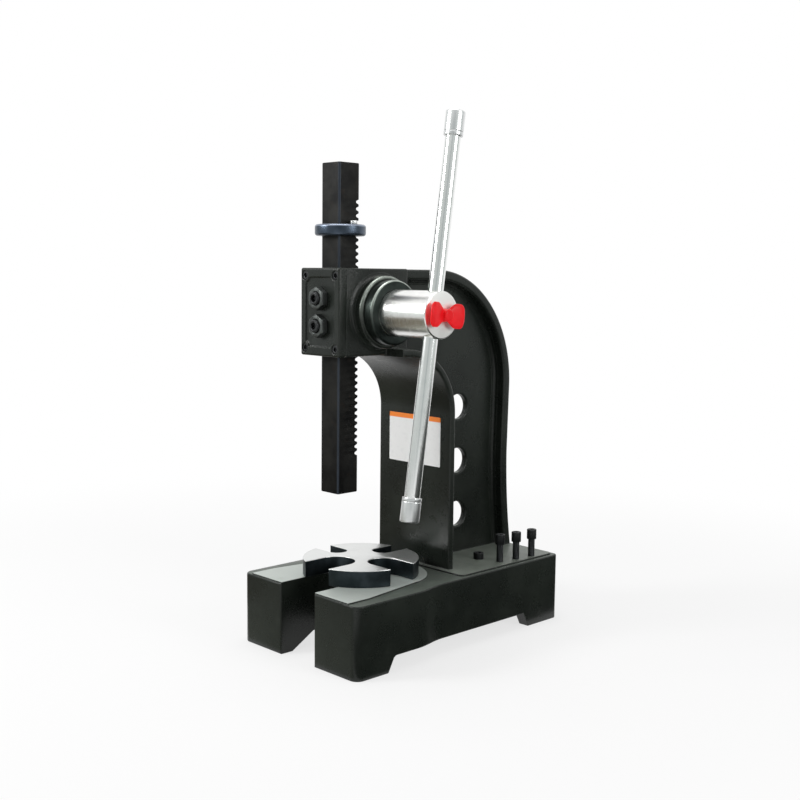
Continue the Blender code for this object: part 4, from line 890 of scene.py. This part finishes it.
low_screw = cap_screw(0.0105, 0.013, 0.007, 0.042)
tall_screw = cap_screw(0.0098, 0.020, 0.007, 0.078)
low, tall = ("foot_screw", low_screw, GAP), ("tall_foot_screw", tall_screw, 0.036)
foot_places = [(0.078, 0.310, *low), (0.122, 0.325, *tall), (0.129, 0.367, *tall), (0.134, 0.410, *tall)]
counts = {}
for side in (1, -1):
    for x, y, kind, shape, rise in foot_places:
        counts[kind] = counts.get(kind, 0) + 1
        screw, name = moved(shape, (side * x, y, PAD_TOP + rise)), f"{kind}_{counts[kind]}"
        make_piece("cap_" + name, [screw], screw_oxide, "frame_body", [name], 30)

# %% [markdown]
# The cover's corner screws are the same shape, turned to face forward. The two lock nuts are hexagons
# whose corners are turned off at a slope, so each flat ends in a curve: at every angle the nut's radius is
# the smaller of the hexagon's and the cone's.

# %% Cover screws, lock nuts and gib screws
FORWARD = Matrix.Rotation(TURN / 4, 3, "X")
corner_screw = moved(cap_screw(0.008, 0.009, 0.005, 0.0335), turn=FORWARD)
for i, (x, z) in enumerate(SCREW_PLACES, 1):
    screw, name = moved(corner_screw, (x, SCREW_SEAT - GAP, z)), f"cover_screw_{i}"
    make_piece("cap_" + name, [screw], screw_oxide, "frame_body", [name], 30)


def lock_nut(sides=144):
    """From the front face in: a bore with a lead-in, a slope of 30 degrees, then the hexagon."""
    flats, front, back = 0.038, -0.0599, -0.0469
    hexa = hexagon(flats, sides)
    slope = [(front + s, np.minimum(hexa, flats / 2 * 0.97 + s * 1.75)) for s in np.linspace(0, 0.0026, 6)]
    edge = [(back - 0.0004, hexa), (back, hexa - 0.0006)]
    bore = [(back, 0.0124), (front + 0.0012, 0.0124), (front, 0.0136)]
    return lathe([*slope, *edge, *bore], "Y", sides=sides)


def gib_screw(sides=96):
    """A set screw: a hexagon socket in its end, a thread and a flat point."""
    front, back, point = -0.0649, -0.0322, -0.0288
    socket = hexagon(0.0125, sides)
    thread = threaded(front + 0.0014, back, 0.0119, 0.00175, sides, 0.045)
    inside = [(front + 0.009, 0), (front + 0.008, socket), (front + 0.0006, socket), (front, socket * 1.08)]
    flat_point = [(back, 0.0055), (point, 0.0055), (point, 0)]
    return lathe([*inside, (front, 0.0102), *thread, *flat_point], "Y", sides=sides)


for side, rise in (("upper", 0.025), ("lower", -0.025)):
    for name, shape, finish, stands_for in (
        ("nut_", lock_nut(), nut_oxide, "gib_lock_nut_"),
        ("set_screw_", gib_screw(), screw_oxide, "gib_screw_"),
    ):
        shape = moved(shape, (0, 0, HEAD_MIDDLE + rise))
        make_piece(name + side, [shape], finish, "frame_body", [stands_for + side], 30)

# %% [markdown]
# ## The ram
#
# The ram is a square bar with rounded corners and a rack cut in its back. Every station has the same
# rounded square, but its back is limited to the rack's profile at that height. Stations sit exactly at the
# corners of the teeth, so the flanks between them come out straight at twenty degrees.

# %% Ram with its rack
def rack_stations():
    """(height, depth) corners of the rack, counted from the pinion's height so that the two are in mesh."""
    slope, mesh_height = math.tan(PRESSURE_ANGLE), HEAD_MIDDLE - RAM_NOSE
    plain_below, plain_above = 0.064, 0.070
    length = RAM_TOP - RAM_NOSE
    tip, datum = RAM_HALF, RAM_HALF - 0.95 * MODULE
    root = datum - 1.25 * MODULE
    first = math.ceil((plain_below - mesh_height) / PITCH)
    last = math.floor((length - plain_above - mesh_height) / PITCH)
    middles = mesh_height + np.arange(first, last + 1) * PITCH
    at_tip, at_root = PITCH / 4 + slope * (tip - datum), PITCH / 4 - slope * (datum - root)
    offsets = np.array([-at_tip, -at_root, at_root, at_tip])
    depths = np.array([tip, root, root, tip])
    levels = (middles[:, None] + offsets).ravel()
    return levels, np.tile(depths, len(middles))


def ram_shape():
    outline = rounded_box((-RAM_HALF, -RAM_HALF), (RAM_HALF, RAM_HALF), 0.0045, 8)
    levels, depths = rack_stations()
    draw, rise = quarter_edge(0.0018)
    length = RAM_TOP - RAM_NOSE
    ends = len(rise)
    levels = np.concatenate([rise, levels, length - rise[::-1]])
    draws = np.concatenate([draw, np.zeros(len(depths)), draw[::-1]])
    depths = np.concatenate([np.full(ends, RAM_HALF), depths, np.full(ends, RAM_HALF)])
    rings = [along("Z", inset(outline, d), RAM_NOSE + z) for d, z in zip(draws, levels)]
    rings = np.array(rings)
    rings[..., 1] = np.minimum(rings[..., 1], depths[:, None])
    return skin(rings, start="flat", end="flat")


make_piece("ram_bar", [ram_shape()], ram_oxide, "ram_body", ["ram"], 30)

# %% [markdown]
# ## Stop collar
#
# The collar is a ring whose outside is round and whose hole is square. Both are radii that depend on the
# angle, so one closed section, from the round outside over the top to the square inside, makes it.

# %% Collar and its screw
COLLAR_SCREW_X = 0.03615


def collar_shape(sides=160):
    low, high, radius = 0.783, 0.804, 0.047
    angle = np.arange(sides) * TURN / sides
    square = np.minimum(0.0254 / np.maximum(np.abs(np.cos(angle)), np.abs(np.sin(angle))), 0.0345)
    draw, rise = quarter_edge(0.0048)
    lower = list(zip(low + rise, radius - draw))
    upper = list(zip(high - rise[::-1], radius - draw[::-1]))
    lead = 0.0008
    inside = [(high, square + lead), (high - lead, square), (low + lead, square), (low, square + lead)]
    body = lathe([*lower, *upper, *inside], "Z", sides=sides)
    return carve(body, round_bar(high - 0.0123, high + 0.01, 0.0043, "Z", (COLLAR_SCREW_X, 0), 24))


make_piece("collar", [collar_shape()], collar_blue, "collar_body", ["stop_collar"], 30)
screw = moved(cap_screw(0.007, 0.006, 0.004, 0.012, 0.001), (COLLAR_SCREW_X, 0, 0.8043))
make_piece("collar_cap_screw", [screw], zinc_plate, "collar_screw_body", ["collar_screw"], 30)

# %% [markdown]
# ## Shaft, bushings and retainer
#
# The shaft is one turned piece: a journal on the far side, a pinion of fourteen teeth under the head, and
# the big bright hub. A tooth's flank is an involute, the curve that a taut string draws as it unwinds from
# the base circle. The lever's bore is cut through the hub, with its mouths opened out.

# %% Pinion teeth
def involute(angle):
    return np.tan(angle) - angle


def pinion_outline():
    """Each flank's half angle is that at the pitch circle less the involute of the angle at the radius."""
    teeth, shift, play = 14, 0.20 * MODULE, 0.035 * PITCH
    pitch_radius = teeth * MODULE / 2
    base = pitch_radius * math.cos(PRESSURE_ANGLE)
    root, tip = pitch_radius - 1.05 * MODULE, pitch_radius + 1.15 * MODULE
    thickness = PITCH / 2 + 2 * shift * math.tan(PRESSURE_ANGLE) - 2 * play
    half = thickness / (2 * pitch_radius) + involute(PRESSURE_ANGLE)
    radius = np.linspace(max(base, root), tip, 8)
    angle = half - involute(np.arccos(np.clip(base / radius, -1, 1)))
    radius, angle = np.append(root, radius), np.append(angle[0], angle)
    r = np.concatenate([radius, radius[::-1]])
    a = np.concatenate([-angle, angle[::-1]])
    middle = TURN / 2 + TURN * np.arange(teeth) / teeth
    turns = (middle[:, None] + a).ravel()
    return np.tile(r, teeth)[:, None] * np.stack([np.cos(turns), np.sin(turns)], 1) + SHAFT_LINE


def lean(shape):
    """A shape made upright about zero, leaned with the lever and set on the lever's axis."""
    return moved(shape, (LEVER_X, PINION_Y, PINION_Z), Matrix.Rotation(-LEVER_TILT, 3, "X"))


def shaft_shapes():
    profile = [(0.027, 0), (0.027, HUB_RADIUS), (HUB_END, HUB_RADIUS), (HUB_END, 0)]
    hub = lathe(eased(profile, [0, 0.001, 0.003, 0], 6), "X", SHAFT_LINE, 160)
    reach, bore, mouth = 0.0525, 0.0144, 0.0415
    flare = bore + (reach - mouth) * 0.9
    upper_half = [(mouth, bore), (reach, flare), (reach, 0)]
    tunnel = lathe([(-z, radius) for z, radius in upper_half[::-1]] + upper_half, "Z", sides=64)
    hub = carve(hub, lean(tunnel), round_bar(LEVER_X, HUB_END + 0.01, 0.0073, sides=40))
    teeth = plate(pinion_outline(), "X", -0.027, 0.031, 0.0002, 0.0002)
    return [hub, teeth, round_bar(-0.074, 0.0, 0.0228)]


make_piece("shaft", shaft_shapes(), hub_chrome, "shaft_body", ["pinion_shaft"], 32)

# %% [markdown]
# The ring round the hub is the flange of a bushing that is pressed into the head. The far side has a
# smaller bronze one, and a thick washer with a screw that keeps the shaft in.

# %% Bushings and retainer
def flanged_bush(inner, outer, seat, radii, ease, steps, sides):
    """A sleeve with a flange: six eased corners, from the sleeve's inner end to the flange's outer face."""
    bore, sleeve, flange = radii
    section = [(inner, bore), (outer, bore), (outer, flange), (seat, flange), (seat, sleeve), (inner, sleeve)]
    return lathe(eased(section, ease, steps, True), "X", SHAFT_LINE, sides)


ring_eases = [0.0002, 0.0012, 0.0052, 0.0008, 0.0002, 0.0002]
ring = flanged_bush(0.0276, BUSHING_FACE, BOSS_FACE + GAP, (0.0428, 0.0498, 0.060), ring_eases, 6, 120)
make_piece("hub_ring", [ring], ring_black, "frame_body", ["right_bushing"], 30)

left_face, left_end = (corner.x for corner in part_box("left_bushing"))
left_ring = flanged_bush(left_end, left_face, LEFT_BOSS_FACE - GAP, (0.0233, 0.0303, 0.040), 0.0012, 4, 96)
make_piece("bronze_ring", [left_ring], bronze, "frame_body", ["left_bushing"], 30)

low, high = (corner.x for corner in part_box("shaft_retainer"))
section = [(low, 0.0064), (low, 0.034), (high, 0.034), (high, 0.0064)]
washer = lathe(eased(section, 0.0012, 4, True), "X", SHAFT_LINE, 96)
make_piece("retaining_washer", [washer], screw_oxide, "shaft_body", ["shaft_retainer"], 30)
SIDEWAYS = Matrix.Rotation(-TURN / 4, 3, "Y")
end_screw = moved(cap_screw(0.009, 0.008, 0.006, 0.0386), (low - GAP, *SHAFT_LINE), SIDEWAYS)
make_piece("retaining_screw", [end_screw], screw_oxide, "shaft_body", ["retainer_screw"], 30)

# %% [markdown]
# ## Lever
#
# The lever is a plain polished bar that slides through the hub, and a cap at each end stops it. A cap is a
# short cup with a rounded end and a small groove near its mouth.

# %% Lever bar and caps
low_end, high_end = -0.369, 0.361
bar_low, bar_high = low_end + 0.0083, high_end - 0.0083
profile = [(bar_low, 0), (bar_low, LEVER_RADIUS), (bar_high, LEVER_RADIUS), (bar_high, 0)]
bar = lathe(eased(profile, 0.0008), "Z", sides=96)
make_piece("lever", [lean(bar)], lever_chrome, "lever_body", ["lever_bar"], 30)


def cap_shape(end, inward):
    """From the closed end along the outside to the mouth, and back along the bore to its floor."""
    mouth, floor, bore, groove = 0.044, 0.008, LEVER_RADIUS + GAP, CAP_RADIUS - 0.0006
    outside = [(0, 0), (0, CAP_RADIUS), (0.0362, CAP_RADIUS), (0.0368, groove)]
    outside += [(0.0378, groove), (0.0384, CAP_RADIUS), (mouth, CAP_RADIUS)]
    inside = [(mouth, bore), (floor, bore), (floor, 0)]
    eases = [0, 0.0028, 0.0002, 0.0002, 0.0002, 0.0002, 0.0009, 0.0006, 0.0002, 0]
    profile = eased(outside + inside, eases, 5) * [inward, 1] + [end, 0]
    return lean(lathe(profile, "Z", sides=96))


for name, end, inward in (("cap_upper", high_end, -1), ("cap_lower", low_end, 1)):
    shape = cap_shape(end, inward)
    make_piece(name, [shape], zinc_plate, "lever_body", ["lever_" + name], 30)

# %% [markdown]
# ## Winged clamp knob
#
# The knob has a round boss and two wings. A wing widens from the boss to a rounded tip, and its section is
# a cushion: half thickness and half height times powers of cosine and sine, which is fuller than an
# ellipse.

# %% Knob
def wing_shape(side, sides=48, stations=40):
    """Half height grows from waist to widest by 3t^2 - 2t^3, then falls round the tip as an ellipse does."""
    spread, tip_radius, growth, waist, widest = 0.0425, 0.010, 0.024, 0.008, 0.022
    u = spread * np.sin(np.linspace(0, TURN / 4, stations))
    t = np.clip(u / growth, 0, 1)
    wide = waist + (widest - waist) * t * t * (3 - 2 * t)
    fall = np.sqrt(np.clip(1 - (np.clip(u - (spread - tip_radius), 0, None) / tip_radius) ** 2, 0, 1))
    rounding = fall ** 0.62
    half_height, half_thick = wide * rounding, (0.0045 - 0.0006 * u / spread) * fall ** 0.5
    angle = np.arange(sides) * TURN / sides
    c, s = np.cos(angle), np.sin(angle)
    thick = np.sign(c) * np.abs(c) ** 0.75
    tall = np.sign(s) * np.abs(s) ** 0.80
    across = np.stack([half_thick[:-1, None] * thick, half_height[:-1, None] * tall], -1)
    return skin(along("Y", across, u[:-1, None] * side), start="flat", end=np.array([0, spread * side, 0]))


def knob_shapes():
    profile = [(GAP, 0), (GAP, 0.0125), (0.004, 0.012), (0.020, 0.0105), (0.020, 0)]
    boss = lathe(eased(profile, [0, 0.0015, 0.001, 0.0035, 0], 6), "X", sides=72)
    settle = Matrix.Rotation(math.radians(-5), 3, "X")
    wings = []
    for side in (1, -1):
        sweep = Matrix.Rotation(-side * math.radians(11), 3, "Z")
        wings.append(moved(moved(wing_shape(side), turn=sweep), (0.0068, 0, 0)))
    return [moved(shape, (HUB_END, PINION_Y, PINION_Z), settle) for shape in (boss, *wings)]


make_piece("knob", knob_shapes(), red_plastic, "knob_body", ["wing_knob"], 50)

# %% [markdown]
# ## Work table
#
# The table is a thick disc with four round-bottomed notches of unlike widths, each of which suits another
# shaft. Its outline runs round the rim from notch to notch, and its top edge is barely broken, because the
# grinding wheel passed over it last.

# %% Table
NOTCHES = ((0.062, 0.028, 0.006), (0.041, 0.045, 0.008), (0.039, 0.048, 0.002), (0.072, 0.022, -0.006))


def table_outline():
    """Four quarters: a notch, straight in and round its floor, then the rim as far as the next notch."""
    quarters = []
    for i, (width, floor, shift) in enumerate(NOTCHES):
        half = width / 2
        start, end = (math.asin((shift + edge) / TABLE_RADIUS) for edge in (-half, half))
        next_width, _, next_shift = NOTCHES[(i + 1) % 4]
        next_start = TURN / 4 + math.asin((next_shift - next_width / 2) / TABLE_RADIUS)
        mouth = [(TABLE_RADIUS * math.cos(start), shift - half)]
        floor_arc = arc((floor + half, shift), (half, half), -TURN / 4, -TURN * 3 / 4, 24)
        rim = arc((0, 0), (TABLE_RADIUS, TABLE_RADIUS), end, next_start, 24)[:-1]
        quarter = np.vstack([mouth, floor_arc, rim])
        c, s = math.cos(TURN / 4 * i), math.sin(TURN / 4 * i)
        quarters.append(quarter @ np.array([[c, s], [-s, c]]))
    return np.vstack(quarters) + [0, TABLE_Y]


table = plate(table_outline(), "Z", PAD_TOP + GAP, TABLE_TOP, 0.0015, 0.0012)
table = carve(table, round_bar(0.13, 0.1556, 0.0123, "Z", (0, TABLE_Y), 40))
make_piece("table", [table], table_steel, "table_body", ["work_table"], 35)

# %% [markdown]
# ## Plate on the column
#
# The column's front flange carries a thin plate. It is bare white with an orange band along its top.

# %% Label plate
label_outline = rounded_box((-0.0700, 0.339), (0.0728, 0.437), 0.002)
label = plate(label_outline, "Y", FLANGE_FACE - 0.0007, FLANGE_FACE + 0.0005, 0.0003, 0.0001)
make_piece("label_plate", [label], label_paint, "frame_body")

# %% [markdown]
# ## Pieces that stay hidden
#
# The gib, the clamp stud and the table's pivot pin sit inside other pieces and show only when something
# moves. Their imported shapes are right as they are, so they only get a finish.

# %% Finishes for the inner pieces
inner_pieces = (("gib_plate", table_steel), ("clamp_stud", screw_oxide), ("table_pivot_pin", screw_oxide))
for name, finish in inner_pieces:
    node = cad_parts[name]
    node.data.materials.clear()
    node.data.materials.append(finish)
    print(name, "keeps its shape and takes", finish.name)

# %% [markdown]
# ## Floor, light and camera
#
# The press stands on a pale floor in front of white. The floor mixes its lit colour with plain white that
# only the camera and reflections see, so it stays white and still shows the shadow. Large soft lamps stand
# for the studio: one from the left, which lights the front faces, and weaker ones from the right and
# above. Chrome in an all-white room looks like paper, so a few cards stand out of the picture, and only
# reflections see them.

# %% Floor and world
def make_floor():
    corners = along("Z", np.array([(-9, -9), (9, -9), (9, 9), (-9, 9)]), ORIGIN[2])
    floor = placed("floor", mesh_of("floor", (corners, [np.array([[0, 1, 2, 3]])])))
    white = Finish("pale_floor", (0.92, 0.92, 0.92), 0.9, **{"Specular IOR Level": 0.0})
    camera = white.node("ShaderNodeLightPath", output="Is Camera Ray")
    gloss = white.node("ShaderNodeLightPath", output="Is Glossy Ray")
    distance = white.node("ShaderNodeVectorMath", {"operation": "LENGTH"}, {0: white.place}, "Value")
    share = 0.72 + distance.above(0.6, 1.4) * 0.28
    glow = white.node("ShaderNodeEmission", None, {"Color": (1, 1, 1, 1), "Strength": 1.0})
    lit = Value(white, white.shader.outputs[0])
    white.show(white.node("ShaderNodeMixShader", None, {0: (camera + gloss) * share, 1: lit, 2: glow}))
    floor.data.materials.append(white.material)


def make_world(level):
    """White for the camera, reflections and glass, and the level for the light that falls on surfaces."""
    world = bpy.data.worlds.new("studio")
    world.use_nodes = True
    bpy.context.scene.world = world
    world.node_tree.nodes.clear()
    sky = Graph(world.node_tree)
    rays = ("Is Camera Ray", "Is Glossy Ray", "Is Transmission Ray")
    camera, gloss, glass = (sky.node("ShaderNodeLightPath", output=ray) for ray in rays)
    strength = sky.node("ShaderNodeMapRange", None, {"Value": camera + gloss + glass, "To Min": level})
    background = sky.node("ShaderNodeBackground", None, {"Color": (1, 1, 1, 1), "Strength": strength})
    output = world.node_tree.nodes.new("ShaderNodeOutputWorld")
    world.node_tree.links.new(background.socket, output.inputs["Surface"])


def make_card(name, low, high, colour):
    """A card of one colour between two rows of points, which only reflections see."""
    low, high = np.array(low, float), np.array(high, float)
    i = np.arange(len(low) - 1)
    faces = np.stack([i, i + 1, i + 1 + len(low), i + len(low)], 1)
    card = placed(name, mesh_of(name, (np.vstack([low, high]), [faces])))
    for kind in ("camera", "diffuse", "transmission", "shadow"):
        setattr(card, "visible_" + kind, False)
    look = Finish(name, colour, 1.0)
    look.show(look.node("ShaderNodeEmission", None, {"Color": (*colour, 1), "Strength": 1.0}))
    card.data.materials.append(look.material)


def floor_card(name, low, high, colour):
    (x0, y0), (x1, y1), z = low, high, ORIGIN[2] + 0.002
    make_card(name, [(x0, y0, z), (x1, y0, z)], [(x0, y1, z), (x1, y1, z)], colour)


def curved_card(name, start, end, radius, bottom, top, colour):
    line = arc((0.0, 0.1), (radius, radius), math.radians(start), math.radians(end), 24)
    make_card(name, along("Z", line, bottom), along("Z", line, top), colour)


make_floor()
make_world(0.34)
# The cards glow but light nothing: they are painted reflections of a darker room, and the black one on the
# floor to the right darkens what the low right-hand sides reflect.
floor_card("brown_card", (-2.4, -2.4), (-0.40, 0.05), (0.16, 0.140, 0.105))
floor_card("black_card", (0.170, -0.45), (3.0, 3.0), (0.03, 0.033, 0.03))
floor_card("front_card", (-0.38, -2.4), (0.160, -0.165), (0.42, 0.44, 0.38))
curved_card("grey_card", -170, 60, 4.2, -0.165, 3.1, (0.58, 0.61, 0.60))
curved_card("dark_card", -54, -40, 4.0, -0.16, 3.2, (0.42, 0.46, 0.46))

# %% [markdown]
# The camera stands where the photographer stood, in front and to the right of the press at about the
# height of its head, with a lens a little longer than normal.

# %% Lamps and camera
def soft_lamp(name, place, target, size, power):
    light = bpy.data.lights.new(name, "AREA")
    light.shape, light.size, light.energy = "DISK", size, power
    lamp = placed(name, light)
    lamp.location = place
    lamp.rotation_euler = (Vector(target) - Vector(place)).to_track_quat("-Z", "Y").to_euler()


middle = (0, 0.1, 0.3)
soft_lamp("left_window", (-1.6, -2.6, 1.7), middle, 1.1, 55)
soft_lamp("right_window", (2.9, 0.6, 1.2), middle, 1.2, 24)
soft_lamp("ceiling", (-0.3, 0.1, 3.0), middle, 1.8, 36)


def photographer():
    yaw, pitch, roll = 2.37, -0.1104, 0.0108
    forward = np.array([math.cos(yaw) * math.cos(pitch), math.sin(yaw) * math.cos(pitch), math.sin(pitch)])
    right = np.array([math.sin(yaw), -math.cos(yaw), 0.0])
    up = np.cross(right, forward)
    right, up = math.cos(roll) * right + math.sin(roll) * up, -math.sin(roll) * right + math.cos(roll) * up
    camera = placed("camera", bpy.data.cameras.new("camera"))
    turn = Matrix(np.stack([right, up, -forward], 1).tolist()).to_4x4()
    camera.matrix_world = Matrix.Translation((1.6126, -1.4680, 0.5465)) @ turn
    camera.data.sensor_width, camera.data.lens = 36.0, 36.0 * 1151.6 / 800
    camera.data.clip_end = 50
    return camera


bpy.context.scene.camera = photographer()
bpy.context.scene.view_settings.view_transform = "Standard"
print("camera lens", round(bpy.context.scene.camera.data.lens, 2), "mm")

# %% Count the pieces
print(len(pieces), "pieces")
